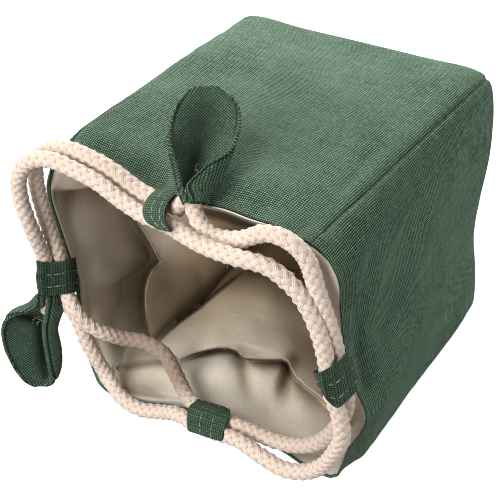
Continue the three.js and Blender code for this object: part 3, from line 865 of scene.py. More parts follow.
# painted shade on the steep backs of the folds, which turn away from the light, and along the fold edges
step_r = np.hypot(np.gradient(px, axis=0), np.gradient(py, axis=0)) + 1e-6
turn_ = lambda q: 0.5 * (np.roll(q, -1, 1) - np.roll(q, 1, 1))
step_t = np.hypot(turn_(px), turn_(py)) + 0.3
slope = np.hypot(np.gradient(depth, axis=0) / step_r, turn_(depth) / step_t)
near_fold = np.maximum(*[1 - smooth(np.abs(side_of(px, py, e_)[0]), 4.0, 6.5) for e_ in (FOLD_EDGE, BIG_EDGE)])
painted_fold_shade = np.maximum(painted_fold_shade, 0.90 * smooth(slope, 2.6, 5.0) * near_fold)
for e_ in (FOLD_EDGE, BIG_EDGE):
    off_, at_ = side_of(px, py, e_)
    painted_fold_shade = np.maximum(painted_fold_shade, 0.50 * (1 - smooth(np.abs(off_), 0.9, 2.8)) * smooth(at_, 0.05, 0.15))
painted_fold_shade = painted_fold_shade * smooth(inwards, 3.0, 10.0)
# painted shade on the cloth just past the lip on the top and right, under the rim
behind = smooth(inwards - lip_width[None], 0.3, 1.6) * smooth(edge_side, 0.3, 0.5)[None] * smooth(1.98 - edge_side, 0.0, 0.1)[None] * smooth(lip_width + 16 - inwards, 0.0, 10.0)
painted_fold_shade = np.clip(np.maximum(painted_fold_shade, 0.86 * behind), 0, 0.96)
# painted shade tint, growing with depth and with the painted shade
painted_shade_tint = np.clip((0.08 + 0.42 * smooth(depth, 25.0, 115.0) + 0.62 * painted_fold_shade) * smooth(inwards, 1.0, 12.0), 0, 1)
flat = lining_p.reshape(-1, 3)
flat = np.vstack([flat, lining_p[-1].mean(0)])
last_ring = (len(radial) - 1) * M
close_up = [[last_ring + (j + 1) % M, last_ring + j, len(flat) - 1] for j in range(M)]
lining_obj = make("lining_cloth", flat, grid_faces(len(radial), M, wrap_cols=True, flip=True).tolist() + close_up, lining_cloth, None,
                  {"painted_fold_shade": np.r_[painted_fold_shade.ravel(), painted_fold_shade[-1].mean()], "painted_shade_tint": np.r_[painted_shade_tint.ravel(), painted_shade_tint[-1].mean()]})
follow_walls(lining_obj, flat)
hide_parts(*[f"lining_{s}" for s in (*SIDE_NAMES, "base")])


# ---------------------------------------------------------------- drawcords
CORD_D = 6.7
ROUTE_1 = [
    (6.4, -6.2, 122.0), (-5.1, -6.5, 122.0), (-16.4, -6.2, 124.1), (-26.9, -6.3, 128.9), (-37.6, -6.8, 132.0),
    (-49.0, -7.2, 133.2), (-60.0, -8.0, 130.2), (-67.9, -8.8, 122.4), (-70.4, -9.0, 112.2), (-70.9, -8.7, 100.7),
    (-70.7, -8.0, 89.1), (-68.9, -7.5, 77.8), (-67.7, -7.2, 66.3), (-68.0, -8.2, 55.0), (-60.7, -11.3, 47.3),
    (-54.4, -8.7, 38.3), (-46.3, -2.1, 31.1), (-35.9, 2.3, 29.5), (-24.8, 2.7, 26.8), (-16.2, -0.6, 19.9),
    (-7.0, -5.0, 14.9), (4.3, -6.8, 13.8), (15.8, -7.2, 13.8), (27.3, -6.1, 13.1), (38.8, -6.0, 13.3),
    (50.0, -6.0, 16.1), (59.8, -5.8, 22.0), (67.4, -5.5, 30.6), (72.7, -5.5, 40.8), (76.3, -6.5, 51.6),
    (76.9, -7.2, 63.3), (74.6, -7.0, 74.9), (72.9, -7.5, 86.0), (70.3, -7.9, 97.3), (67.2, -7.8, 107.7),
    (63.1, -6.9, 118.9), (56.5, -7.2, 124.6), (45.8, -7.0, 124.4), (35.2, -8.2, 118.8), (24.2, -9.0, 116.4),
    (17.5, -8.8, 118.6), (13.6, -7.6, 124.0), (12.4, -6.8, 128.0),
]
ROUTE_2 = [
    (-72.7, -12.3, 61.9), (-72.1, -12.3, 67.9), (-71.6, -12.9, 74.7), (-70.6, -15.7, 85.9), (-70.5, -17.9, 97.4),
    (-71.1, -18.5, 109.0), (-69.4, -18.3, 119.8), (-62.3, -17.3, 128.9), (-51.5, -15.9, 132.3), (-40.2, -14.5, 130.3),
    (-29.3, -13.7, 127.2), (-18.7, -13.5, 122.4), (-7.8, -13.5, 118.8), (3.8, -13.6, 118.4), (15.2, -15.3, 117.3),
    (26.7, -16.7, 117.0), (38.3, -16.8, 117.2), (50.7, -14.4, 115.9), (61.1, -12.8, 108.7), (67.3, -12.3, 98.9),
    (71.3, -12.6, 88.0), (73.3, -12.9, 76.4), (74.4, -13.3, 64.9), (77.9, -13.4, 53.8), (78.7, -13.5, 42.4),
    (74.6, -13.5, 31.6), (69.0, -13.1, 21.5), (60.8, -13.5, 13.2), (50.1, -15.2, 10.2), (38.3, -15.1, 11.9),
    (25.9, -13.8, 13.6), (14.5, -14.0, 12.2), (3.1, -13.9, 11.6), (-8.6, -11.9, 10.2), (-19.1, -10.9, 5.6),
    (-30.2, -13.2, 3.9), (-41.0, -13.0, 6.0), (-52.6, -9.1, 12.2), (-56.9, -9.6, 22.0), (-60.2, -9.8, 30.1),
    (-63.0, -9.2, 39.7), (-67.4, -8.6, 45.0), (-71.6, -7.0, 48.7), (-73.4, -6.6, 53.0),
]


def along_frames(path):
    """Tangents and two steady cross directions along a path."""
    t = unit(np.gradient(path, axis=0))
    a = np.zeros_like(path)
    ref = np.array([0.3, -0.8, 0.52])
    a[0] = unit(ref - t[0] * (ref @ t[0]))
    for i in range(1, len(path)):
        v = a[i - 1] - t[i] * (a[i - 1] @ t[i])
        a[i] = v / np.linalg.norm(v)
    return t, a, np.cross(t, a)


def plait(s, phi, turn=LAY, n=PLAITS):
    """Height of a round braid, 0 to 1, at a place along it and an angle round it."""
    a = np.cos(np.pi * n * (phi / (2 * np.pi) - s / turn))
    b = np.cos(np.pi * n * (phi / (2 * np.pi) + s / turn))
    o = a * b
    return np.maximum(np.abs(a) * (0.58 + 0.42 * o), np.abs(b) * (0.58 - 0.42 * o))


def braid_tube(name, path, radius, material, relief=0.72, sides=44, taper=None, hairs=1.6, inside=None):
    s = arc(path)
    t, a, b = along_frames(path)
    turn = np.linspace(0, 1, sides + 1)
    phi = 2 * np.pi * turn
    h = plait(s[:, None], phi[None])
    lump = 0.10 * noise_2d(s[:, None] + 0 * phi[None], 6 * np.minimum(turn, 1 - turn)[None] + 0 * s[:, None], 3, 2.0)
    r = radius + relief * (h - 0.68) + lump
    if taper is not None:
        r = r * taper[:, None]
    p = path[:, None] + r[..., None] * (np.cos(phi)[None, :, None] * a[:, None] + np.sin(phi)[None, :, None] * b[:, None])
    verts = p.reshape(-1, 3)
    uv = np.stack([s[:, None] + 0 * phi[None], 10 * turn[None] + 0 * s[:, None]], -1).reshape(-1, 2)
    faces = grid_faces(len(path), sides + 1).tolist()
    for end, row in ((path[0], 0), (path[-1], len(path) - 1)):
        verts = np.vstack([verts, end])
        uv = np.vstack([uv, [s[row], 5.0]])
        k = len(verts) - 1
        for j in range(sides):
            f = (row * (sides + 1) + j, row * (sides + 1) + j + 1, k)
            faces.append(f if row else f[::-1])
    # loose fibres that stand off the braid, so many for each millimetre
    rng = np.random.default_rng(len(path))
    count = int(hairs * s[-1])
    row = rng.integers(6, len(path) - 6, count)
    col = rng.integers(0, sides, count)
    root = p[row, col]
    up = unit(root - path[row])
    lean = unit(0.75 * up + 0.9 * t[row] * rng.normal(size=(count, 1)) + 0.7 * rng.normal(size=(count, 3)))
    bend = unit(np.cross(lean, rng.normal(size=(count, 3))))
    long_ = rng.uniform(0.7, 1.9, (count, 1))
    steps = []
    for g, thick in ((-0.1, 0.045), (0.35, 0.04), (0.7, 0.03), (1.0, 0.012)):
        q = root + lean * (g * long_) + bend * (0.45 * g * g * long_)
        ex = unit(np.cross(lean, up) + 1e-6)
        ey = np.cross(lean, ex)
        steps.append(np.stack([q + thick * (math.cos(w_) * ex + math.sin(w_) * ey) for w_ in (0.0, 2.094, 4.189)], 1))
    hair = np.stack(steps, 1)                   # count x 4 x 3 x 3
    far = np.linalg.norm(hair - path[row][:, None, None], axis=-1, keepdims=True)
    hair = path[row][:, None, None] + (hair - path[row][:, None, None]) * np.minimum(1.0, (radius + 1.5) / far)
    one = grid_faces(4, 3, wrap_cols=True)
    k = len(verts)
    faces += (one[None] + (k + 12 * np.arange(count))[:, None, None]).reshape(-1, 4).tolist()
    verts = np.vstack([verts, hair.reshape(-1, 3)])
    uv = np.vstack([uv, np.repeat(np.stack([s[row], 10 * turn[col]], 1), 12, axis=0)])
    along = uv[:, 0]
    inside = np.interp(along, s, inside) if inside is not None else np.zeros(len(verts))
    return make(name, verts, faces, material, uv, {"inside": inside}), verts


cords = {}
for name, route in (("drawcord_braid_1", ROUTE_1), ("drawcord_braid_2", ROUTE_2)):
    line = spline(route, 30)
    path = resample(line, int(arc(line)[-1] / 0.55))
    # painted shade where the cord hangs inside the mouth, out of the light
    painted_cord_shade = 0.80 * smooth(path[:, 1], -8.5, -1.0)
    obj, verts = braid_tube(name, path, CORD_D / 2, braid, inside=painted_cord_shade)
    follow_walls(obj, verts)
    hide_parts(name.replace("_braid", ""))
    to_world(path[0])
    to_world(path[::3]).tolist() + [to_world(path[-1]).tolist()]
    cords[name] = path

# ---------------------------------------------------------------- loops on the rim
# Each loop is a band round both cords. Its two open edges are given as the camera sees
# them, on the plane that touches the cords in front, and the band closes behind the cords.
LOOPS = {
    "left": dict(mid=(-70.5, -10.0, 62.0), run=(0.030, 0.0, 1.0), out=(-0.702, -0.712, 0.021), sewn=(-70.0, 2.0, 60.0), width=19.0,
                 first=[(36.3, 260.3), (46, 262.4), (56, 262.2), (65, 260.2), (72.4, 257.8)],
                 last=[(37.8, 295.2), (48, 296.2), (58, 295.2), (66, 294.0), (73.6, 292.6)], rows=(0.37, 0.73), tab=0.93),
    "top": dict(mid=(-3.4, -10.0, 120.3), run=(1.0, 0.0, -0.02), out=(-0.009, -0.902, -0.431), sewn=(-2.0, 2.0, 120.2), width=13.0,
                first=[(153.5, 190.5), (146.3, 199.5), (142.4, 210), (145.4, 221), (155.5, 228.0)],
                last=[(175.0, 195.0), (168.6, 202), (165.4, 210.5), (165.5, 221), (170.0, 231.0)], rows=(0.40, 0.76), tab=0.06, lean=0.39),
    "right": dict(mid=(75.9, -10.0, 67.2), run=(-0.20, 0.0, 0.98), out=(-0.485, -0.869, -0.099), sewn=(75.0, 2.0, 64.5), width=18.0,
                  first=[(315.5, 373.8), (323.5, 371.0), (331.5, 366.2), (339.5, 360.2), (347.2, 354.8)],
                  last=[(322.8, 394.5), (329.0, 402.6), (337.4, 408.0), (347.5, 400.5), (357.2, 391.0)], rows=(0.42, 0.78), tab=0.95),
    "under": dict(mid=(6.9, -10.5, 12.5), run=(0.999, -0.05, 0.0), out=(-0.046, -0.928, -0.370), sewn=(6.9, -0.5, 2.2), width=19.0,
                  first=[(196.0, 401.3), (190.0, 405.2), (187.2, 412.0), (186.6, 421.0), (187.3, 430.8)],
                  last=[(229.7, 412.3), (229.0, 416.2), (226.6, 424.0), (224.0, 433.0), (222.5, 441.4)], rows=(0.36, 0.66), tab=0.95),
}
LOOP_T, LOOP_DEEP = 1.25, 9.4


def on_plane(px, py, point, normal):
    d = line_of_sight(px, py)
    return EYE + (((np.asarray(point) - EYE) @ normal) / (d @ normal))[..., None] * d


def capsule(a, b, out, radius, rows=7, sides=6):
    """One stitch from a to b that dips at both ends. Points and faces."""
    t = np.linspace(0, 1, rows)
    mid = a[None] * (1 - t)[:, None] + b[None] * t[:, None] + out[None] * (radius * (1.6 * np.sin(np.pi * t) - 0.6))[:, None]
    d = unit(b - a)
    x = unit(np.cross(d, out))
    y = np.cross(x, d)
    phi = np.linspace(0, 2 * np.pi, sides, endpoint=False)
    r = radius * np.sqrt(np.clip(1 - (2 * t - 1) ** 6, 0.05, 1))
    p = mid[:, None] + r[:, None, None] * (np.cos(phi)[None, :, None] * x + np.sin(phi)[None, :, None] * y)
    f = grid_faces(rows, sides, wrap_cols=True).tolist()
    f.append(list(range(sides))[::-1])
    f.append([(rows - 1) * sides + k for k in range(sides)])
    return p.reshape(-1, 3), f


def join_pieces(parts):
    verts, faces, base = [], [], 0
    for p_, f_ in parts:
        verts.append(p_)
        faces += [[x + base for x in q] for q in f_]
        base += len(p_)
    return np.vstack(verts), faces


for where, k in LOOPS.items():
    mid, sewn, width = np.array(k["mid"]), np.array(k["sewn"]), k["width"]
    z = unit(k["run"])
    x = unit(np.array(k["out"]) - z * (np.array(k["out"]) @ z))
    y = np.cross(z, x)
    y = y * np.sign(y @ BACK)
    y = unit(y - k.get("lean", 0.0) * RIGHT)
    edges = []
    for px_ in (k["first"], k["last"]):
        q = resample(spline(px_, 20), 81)
        edges.append(on_plane(q[:, 0], q[:, 1], mid + 4.75 * y, y))
    across = np.linalg.norm(np.diff(0.5 * (edges[0] + edges[1]), axis=0), axis=1).sum()
    # the band's course: along the front, round one end, along the back, round the other
    fe, R_ = 3.3 / across, LOOP_DEEP / 2
    ang = np.linspace(0, np.pi, 24)
    course = np.vstack([np.stack([np.linspace(fe, 1 - fe, 40), 0.35 * np.sin(np.linspace(0, 2 * np.pi, 40)) ** 2], 1),
                        np.stack([1 - fe + fe * np.sin(ang), R_ - R_ * np.cos(ang)], 1)[1:],
                        np.stack([np.linspace(1 - fe, fe, 40), np.full(40, 2 * R_)], 1)[1:],
                        np.stack([fe - fe * np.sin(ang), R_ + R_ * np.cos(ang)], 1)[1:-1]])
    course[:, 0] *= across
    course = resample(np.vstack([course, course[:1]]), 161)[:160]
    at = np.clip(course[:, 0] / across, 0, 1) * 80
    i0 = np.minimum(at.astype(int), 79)
    fr = (at - i0)[:, None]
    rings = [e[i0] * (1 - fr) + e[i0 + 1] * fr - BACK * course[:, 1:] for e in edges]
    tang = unit(np.roll(course, -1, 0) - np.roll(course, 1, 0))
    lateral = unit(np.gradient(0.5 * (edges[0] + edges[1]), axis=0))[i0]
    outw = unit(lateral * tang[:, 1:] + BACK * tang[:, :1])                  # away from the cords
    # a flat strip with round edges
    w, h, e = width / 2, LOOP_T / 2, 0.55
    sect = []
    for cx, cy, a0 in ((w - e, h - e, 0), (-(w - e), h - e, 90), (-(w - e), -(h - e), 180), (w - e, -(h - e), 270)):
        for g in np.radians(np.linspace(a0, a0 + 90, 5)):
            sect.append((cx + e * math.cos(g), cy + e * math.sin(g)))
    sect = np.array(sect[:5] + [(u_, h) for u_ in np.linspace(w - e, -(w - e), 30)[1:-1]] + sect[5:])
    s = arc(np.vstack([course, course[:1]]))[:-1]
    ripple = 0.30 * noise_2d(s[:, None] + 0 * sect[None, :, 0], sect[None, :, 0] + 0 * course[:, :1], 21, 4.5)
    bow = 0.45 * (1 - (sect[:, 0] / w) ** 2)
    lift = sect[None, :, 1] + bow[None] + ripple
    wf = (sect[:, 0] / width + 0.5)[None, :, None]
    p = rings[0][:, None] * (1 - wf) + rings[1][:, None] * wf + outw[:, None] * lift[..., None]
    uv = np.stack([sect[None, :, 0] + 0 * s[:, None] + 40, s[:, None] + 3 * sect[None, :, 1]], -1).reshape(-1, 2)
    parts = [(p.reshape(-1, 3), grid_faces(len(course), len(sect), wrap_cols=True, wrap_rows=True).tolist())]
    # the two ends go back together to the rim
    j = int(np.argmin(np.abs(course[:, 0] / across - k["tab"]) + 0.02 * np.abs(course[:, 1] - 1.5 * R_)))
    g0 = np.linspace(0.2, 0.8, 15)[None, :, None]
    a_end = rings[0][j][None, None] * (1 - g0) + rings[1][j][None, None] * g0
    b_end = sewn[None, None] + z * (g0 - 0.5) * width * (1.0 if (rings[1][j] - rings[0][j]) @ z > 0 else -1.0)
    g1 = np.linspace(0, 1, 12)[:, None, None]
    tab = a_end * (1 - g1) + b_end * g1
    tn = unit(np.cross(np.gradient(tab, axis=0), np.gradient(tab, axis=1)))
    sheet_ = np.concatenate([tab + tn * 0.7, (tab - tn * 0.7)[::-1]], 0)
    sides_ = [[r_ * 15 + c_, (r_ + 1) * 15 + c_, (22 - r_) * 15 + c_, (23 - r_) * 15 + c_] for r_ in range(11) for c_ in (0, 14)]
    parts.append((sheet_.reshape(-1, 3), grid_faces(24, 15, wrap_rows=True).tolist() + sides_))
    uv = np.vstack([uv, np.stack([g0[0, :, 0][None] * width + np.zeros((24, 1)), np.linspace(0, 20, 24)[:, None] + 0 * g0[0, :, 0][None]], -1).reshape(-1, 2)])
    v_, f_ = join_pieces(parts)
    # painted shade on the loops, heaviest on the left loop and lightest on the top one
    obj = make(f"loop_{where}", v_, f_, canvas_trim, uv, {"crisp": np.ones(len(v_)), "painted_crease_shade": np.full(len(v_), {"left": 0.50, "top": 0.08}.get(where, 0.22))})
    body = "pouch" if where == "under" else f"wall_{where}"
    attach(obj, body)
    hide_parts(f"cord_loop_{where}")
    parts = []
    sd, closed_ = np.r_[s, s[-1] + np.linalg.norm(course[0] - course[-1])], lambda q: np.vstack([q, q[:1]])
    for row in k["rows"]:
        line = rings[0] * (1 - row) + rings[1] * row + outw * (h + 0.45 * (1 - (2 * row - 1) ** 2) + 0.17)
        line = line + outw * (0.30 * noise_2d(s, np.full(len(s), (row - 0.5) * width), 21, 4.5))[:, None] + unit(rings[1] - rings[0]) * (0.22 * noise_1d(s, 7, 6.0))[:, None]
        for s0 in np.arange(1.0, sd[-1] - 3, 3.7):
            ends = []
            for st in (s0, s0 + 2.9):
                pt = np.array([np.interp(st, sd, closed_(line)[:, i]) for i in range(3)])
                ot = unit(np.array([np.interp(st, sd, closed_(outw)[:, i]) for i in range(3)]))
                ends.append((pt, ot))
            parts.append(capsule(ends[0][0], ends[1][0], ends[0][1], 0.13))
    v_, f_ = join_pieces(parts)
    st = make(f"loop_{where}_stitches", v_, f_, thread)
    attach(st, body)

# ---------------------------------------------------------------- leaf pulls
# Each pull is a padded leaf of two layers, folded over the cord ends at its base. A row of
# the table is a height in the frame, then across it: the left edge, the left side, the
# middle of the back, the right side and the right edge, and how many millimetres each
# stands in front of the leaf's plane.
TOP_LEAF = [
    (203.0, 189.0, 185.0, 195.5, 206.3, 190.0, 2.6, -0.6, -3.4, -0.6, 2.9),
    (199.0, 188.2, 183.0, 195.5, 207.0, 189.2, 2.8, -0.6, -3.6, -0.6, 3.2),
    (194.0, 186.0, 181.2, 196.0, 209.0, 187.0, 3.0, -0.4, -3.8, -0.4, 3.6),
    (189.0, 184.0, 179.8, 197.0, 213.0, 185.2, 3.2, 0.0, -4.0, -0.2, 4.0),
    (184.0, 182.6, 178.4, 197.5, 216.6, 187.0, 3.4, 0.2, -4.2, 0.0, 4.4),
    (176.0, 181.3, 176.3, 198.0, 221.3, 195.5, 3.6, 0.4, -4.6, 0.2, 5.2),
    (167.0, 179.6, 174.2, 198.0, 225.4, 205.0, 3.8, 0.8, -5.0, 0.6, 5.8),
    (162.0, 178.3, 173.0, 198.0, 227.6, 214.5, 3.8, 1.0, -5.0, 1.0, 5.8),
    (157.0, 176.4, 172.0, 198.5, 229.6, 222.0, 3.8, 1.2, -4.8, 1.4, 5.4),
    (150.0, 173.4, 171.0, 199.0, 232.0, 228.6, 3.6, 1.8, -4.4, 2.2, 4.8),
    (140.0, 171.2, 170.2, 199.5, 235.4, 234.0, 3.6, 2.6, -3.6, 2.8, 4.2),
    (130.0, 171.6, 170.7, 200.0, 237.8, 236.8, 3.4, 2.6, -2.8, 2.8, 3.8),
    (120.0, 173.7, 172.8, 201.0, 238.9, 238.0, 3.0, 2.4, -2.0, 2.6, 3.4),
    (112.0, 176.2, 175.4, 201.5, 238.6, 237.8, 2.6, 2.0, -1.4, 2.2, 2.8),
    (104.0, 180.0, 179.2, 202.5, 235.8, 235.0, 2.2, 1.7, -0.8, 1.8, 2.3),
    (97.0, 184.7, 184.0, 203.0, 230.6, 229.9, 1.8, 1.4, -0.3, 1.4, 1.8),
    (91.5, 189.8, 189.2, 203.5, 223.8, 223.2, 1.4, 1.1, 0.1, 1.1, 1.4),
    (88.2, 194.8, 194.3, 204.0, 217.0, 216.5, 1.1, 0.9, 0.4, 0.9, 1.1),
    (86.2, 200.2, 199.8, 204.5, 210.3, 209.9, 0.9, 0.8, 0.6, 0.8, 0.9),
]
LEFT_LEAF = [
    (295.5, 45.4, 38.4, 45.5, 55.5, 46.6, 2.2, -0.4, -2.6, -0.4, 2.4),
    (300.0, 45.9, 34.0, 45.0, 57.5, 47.2, 2.8, -0.4, -3.2, -0.2, 3.2),
    (304.0, 46.0, 30.8, 44.0, 58.3, 47.3, 3.2, -0.2, -3.6, 0.0, 3.8),
    (307.0, 45.6, 24.5, 42.0, 60.7, 47.1, 3.6, 0.0, -4.0, 0.2, 4.2),
    (309.5, 41.0, 16.0, 39.5, 61.5, 46.9, 4.2, 0.4, -4.4, 0.4, 4.6),
    (312.0, 27.8, 12.2, 37.5, 60.9, 46.5, 4.6, 0.8, -4.6, 0.6, 4.8),
    (315.0, 16.6, 9.8, 37.0, 59.7, 46.0, 4.2, 1.2, -4.8, 0.8, 5.0),
    (320.0, 9.4, 7.4, 38.0, 57.9, 44.8, 3.4, 1.6, -4.6, 1.0, 5.2),
    (326.0, 6.2, 5.1, 39.5, 56.1, 43.8, 3.0, 1.8, -4.4, 1.0, 5.2),
    (332.0, 5.3, 4.3, 41.0, 56.1, 43.9, 2.8, 2.0, -4.2, 1.0, 5.2),
    (340.0, 6.0, 5.1, 42.5, 58.3, 44.8, 2.6, 1.9, -4.0, 1.0, 5.2),
    (350.0, 8.5, 7.6, 44.0, 60.1, 46.4, 2.4, 1.8, -3.8, 1.0, 5.0),
    (360.0, 13.1, 12.3, 45.5, 60.4, 48.0, 2.2, 1.6, -3.4, 1.0, 4.6),
    (368.0, 17.4, 16.6, 46.5, 59.5, 49.2, 2.0, 1.4, -2.8, 0.9, 4.0),
    (375.0, 22.2, 21.5, 47.0, 57.1, 50.8, 1.7, 1.2, -2.0, 0.8, 3.0),
    (380.0, 26.1, 25.5, 46.5, 54.1, 51.8, 1.4, 1.0, -1.2, 0.7, 2.0),
    (384.0, 32.0, 31.4, 44.0, 49.9, 50.0, 1.1, 0.8, -0.4, 0.6, 1.2),
    (386.4, 38.2, 37.8, 41.5, 44.3, 45.2, 0.8, 0.6, 0.3, 0.6, 0.8),
]


def soften(x, times=3):
    for _ in range(times):
        x = np.concatenate([x[:1], 0.25 * x[:-2] + 0.5 * x[1:-1] + 0.25 * x[2:], x[-1:]])
    return x


def leaf(where, knot, tip, table, pocket, thick=2.3, rows_n=110, cols_n=131):
    knot, tip = np.array(knot, float), np.array(tip, float)
    normal = unit(np.cross(RIGHT, tip - knot))
    normal = normal * np.sign(normal @ BACK)
    t = np.array(table)
    order = np.argsort(t[:, 0])
    t = t[order] if t[0, 0] < t[-1, 0] else t
    place = np.r_[0, np.cumsum(np.abs(np.diff(t[:, 0])) + 0.6)]
    grid = np.interp(np.linspace(0, place[-1], rows_n), place, np.arange(len(t)))
    full = np.stack([np.interp(grid, np.arange(len(t)), t[:, c_]) for c_ in range(t.shape[1])], 1)
    full = soften(full, 5)
    lines, widths = [], []
    for y_, xle, xlo, xm, xro, xre, nle, nlo, nm, nro, nre in full:
        q = [(xle, nle), (0.5 * (xle + xlo) - 0.25, 0.5 * (nle + nlo) + 0.28 * abs(nle - nlo) + 0.02 * (xle - xlo)), (xlo, nlo),
             (0.60 * xlo + 0.40 * xm, 0.30 * nlo + 0.70 * nm + 0.3), (xm, nm), (0.60 * xro + 0.40 * xm, 0.30 * nro + 0.70 * nm + 0.3),
             (xro, nro), (0.5 * (xre + xro) + 0.25, 0.5 * (nre + nro) + 0.28 * abs(nre - nro) + 0.02 * (xro - xre)), (xre, nre)]
        q = np.array(q)
        q[:, 0] /= 2.4
        c_ = resample(spline(q, 16), cols_n)
        lines.append(c_)
        widths.append(arc(c_)[-1])
    lines, widths = soften(np.array(lines), 2), np.array(widths)
    px_ = lines[..., 0] * 2.4
    py_ = full[:, :1] + 0 * px_
    lift_ = lines[..., 1] + 0.18 * noise_2d(px_, py_, 31, 9.0)
    mid = on_plane(px_, py_, knot, normal) + BACK * lift_[..., None]
    n_ = unit(np.cross(np.gradient(mid, axis=1), np.gradient(mid, axis=0)))
    k = n_[rows_n * 3 // 4, cols_n // 2] @ BACK
    n_ = n_ * np.sign(k)
    u = np.linspace(0, 1, cols_n)
    from_edge = np.minimum(u, 1 - u)[None] * widths[:, None]
    down = arc(mid[:, cols_n // 2])
    from_tip = (down[-1] - down)[:, None]
    r = thick / 2
    e = np.clip(np.minimum(from_edge, from_tip) / r, 0, 1)
    puff = r * np.sqrt(np.clip(1 - (1 - e) ** 2, 0, 1))
    seam = np.exp(-(((np.minimum(from_edge, from_tip) - 2.1) / 0.42) ** 2))
    uv = np.stack([(u[None] - 0.5) * widths[:, None] + 60, down[:, None] + 0 * u[None]], -1)
    uv = np.stack([0.77 * uv[..., 0] - 0.64 * uv[..., 1] + 90, 0.64 * uv[..., 0] + 0.77 * uv[..., 1]], -1)      # cut across the threads
    # painted shade in the pocket between the rolled edges
    line_, wide_, dark_ = pocket
    d_, t_ = side_of(px_, py_, line_)
    spot = np.linspace(0, 1, len(dark_))
    pocket_shade = np.interp(t_, spot, dark_) * np.exp(-((d_ / np.interp(t_, spot, wide_)) ** 2)) * smooth(1.2 - lift_, 0.0, 2.2)
    # painted shade along the seam grooves, strongest on the back face, and in the pocket on the front face
    for face, sign in (("front", 1.0), ("back", -1.0)):
        groove = seam * (0.55 if sign < 0 else 0.12)
        p = mid + n_ * (sign * (puff - groove))[..., None]
        obj = make(f"leaf_{where}_{face}_cloth", p.reshape(-1, 3), grid_faces(*p.shape[:2], flip=(sign * np.sign(k) < 0)), canvas_trim,
                   uv.reshape(-1, 2) + (0 if sign > 0 else 37), {"crisp": np.ones(rows_n * cols_n), "painted_crease_shade": np.maximum(seam * (1.0 if sign < 0 else 0.15), pocket_shade * (sign > 0)).ravel()})
        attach(obj, f"pull_{where}")
        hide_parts(f"leaf_{where}_{face}")
    return mid


def tuft(where, px_, py_, knot, tip, count, seed, lift=1.5, radius=0.1):
    """Loose thread ends."""
    knot, tip = np.array(knot, float), np.array(tip, float)
    normal = unit(np.cross(RIGHT, tip - knot))
    base = on_plane(np.array(px_), np.array(py_), knot, normal) + BACK * lift
    g = np.random.default_rng(seed)
    parts = []
    for _ in range(count):
        way = unit(RIGHT * g.normal() + UP * g.normal() * 0.7 + BACK * 0.5)
        a = base + g.normal(size=3) * 0.7
        m_ = a + way * g.uniform(0.9, 1.6)
        b = m_ + unit(way + 0.7 * g.normal(size=3)) * g.uniform(0.8, 1.8)
        parts += [capsule(a, m_, BACK, radius), capsule(m_, b, BACK, 0.9 * radius)]
    v_, f_ = join_pieces(parts)
    obj = make(f"leaf_{where}_threads", v_, f_, thread)
    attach(obj, f"pull_{where}")


TOP_KNOT, TOP_TIP = (10.0, -7.0, 130.3), (-9.5, 35.0, 150.0)
LEFT_KNOT, LEFT_TIP = (-75.9, -15.7, 46.6), (-83.0, -24.2, 1.6)
leaf("top", TOP_KNOT, TOP_TIP, TOP_LEAF, ([(184, 190), (189, 177), (194, 165), (196, 150), (199, 134), (204, 114), (207, 98)], [6, 8, 12, 14, 16, 18, 18], [1.0, 1.0, 0.98, 0.78, 0.62, 0.52, 0.25]))
leaf("left", LEFT_KNOT, LEFT_TIP, LEFT_LEAF, ([(16, 314), (28, 317), (37, 321), (39, 329), (39.5, 341), (41.5, 356), (45, 375)], [4, 6, 8, 8.5, 8.5, 8, 5], [0.85, 1.0, 1.0, 1.0, 1.0, 0.95, 0.8]))
tuft("top", 195.5, 167.0, TOP_KNOT, TOP_TIP, 3, 3, -0.5, 0.05)
tuft("left", 37.0, 319.0, LEFT_KNOT, LEFT_TIP, 10, 4, -0.5, 0.07)


# ---------------------------------------------------------------- cord ends gathered into the pulls
def stub(name, points, radius, body, node):
    line = spline(points, 20)
    path = resample(line, max(16, int(arc(line)[-1] / 0.5)))
    t = np.linspace(0, 1, len(path))
    obj, _ = braid_tube(name, path, radius, braid, relief=0.5, taper=1 - 0.12 * t)
    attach(obj, body)
    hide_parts(node)
    return obj


def seen_at(px_, py_, like):
    """The point seen at a place in the frame that is as far from the eye as another point."""
    return EYE + line_of_sight(np.array(px_), np.array(py_)) * np.linalg.norm(np.array(like) - EYE)


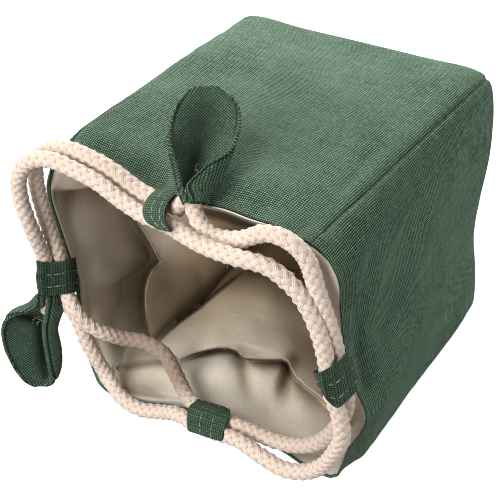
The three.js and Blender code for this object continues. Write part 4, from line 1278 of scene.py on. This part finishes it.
stub("cord_end_top_1", [seen_at(176.5, 209.0, (6.4, -6.2, 122.0)), seen_at(179.5, 204.5, (7.4, -6.6, 125.0)), seen_at(185.0, 199.5, (9.0, -6.6, 128.5)), seen_at(190.0, 194.0, (10, -6, 131))], 3.0, "pull_top", "cord_knot_top")
stub("cord_end_left_1", [(-74.2, -13.4, 51.0), (-74.8, -14.4, 48.0), (-75.8, -15.6, 44.0)], 2.9, "pull_left", "cord_knot_left")

# ---------------------------------------------------------------- floor and light
n = Nodes("floor")
n.finish((0.30, 0.30, 0.30), 0.9, specular=0.0)
n.bsdf.inputs["Emission Color"].default_value = (1, 1, 1, 1)
n.bsdf.inputs["Emission Strength"].default_value = 0.95
floor_mesh = bpy.data.meshes.new("floor")
floor_mesh.from_pydata([(-4, -4, 0), (4, -4, 0), (4, 4, 0), (-4, 4, 0)], [], [(0, 1, 2, 3)])
floor_mesh.materials.append(n.mat)
floor = bpy.data.objects.new("floor", floor_mesh)
bpy.context.scene.collection.objects.link(floor)
floor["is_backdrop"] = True
floor.visible_diffuse = floor.visible_glossy = False

world = bpy.data.worlds.new("world")
bpy.context.scene.world = world
world.use_nodes = True
world.node_tree.nodes["Background"].inputs[0].default_value = (1.0, 1.0, 1.0, 1.0)
world.node_tree.nodes["Background"].inputs[1].default_value = 0.23


def softbox(name, where, size, power, colour=(1, 1, 1), aim=(0, 0, 0.06)):
    data = bpy.data.lights.new(name, "AREA")
    data.shape, data.size, data.size_y = "RECTANGLE", size[0], size[1]
    data.energy, data.color = power, colour
    o = bpy.data.objects.new(name, data)
    o.location = where
    o.rotation_mode = "QUATERNION"
    o.rotation_quaternion = (Vector(aim) - Vector(where)).to_track_quat("-Z", "Y")
    bpy.context.scene.collection.objects.link(o)
    return o


softbox("key", (-0.28, 0.42, 0.46), (0.35, 0.35), 6.7, aim=(-0.02, 0.02, 0.11))
softbox("front", (-0.22, -0.70, 0.80), (0.60, 0.60), 8.5)
softbox("fill", (0.03, -0.95, 0.36), (0.4, 0.3), 5.0)
softbox("bounce", (0.55, 0.42, 0.02), (0.6, 0.2), 5.0, aim=(0.06, 0.05, 0.03))
bpy.context.scene.cycles.filter_width = 1.05


# ---------------------------------------------------------------- close
{"cad": [list(v) for v in cad_box], "visual": [list(v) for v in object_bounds()]}
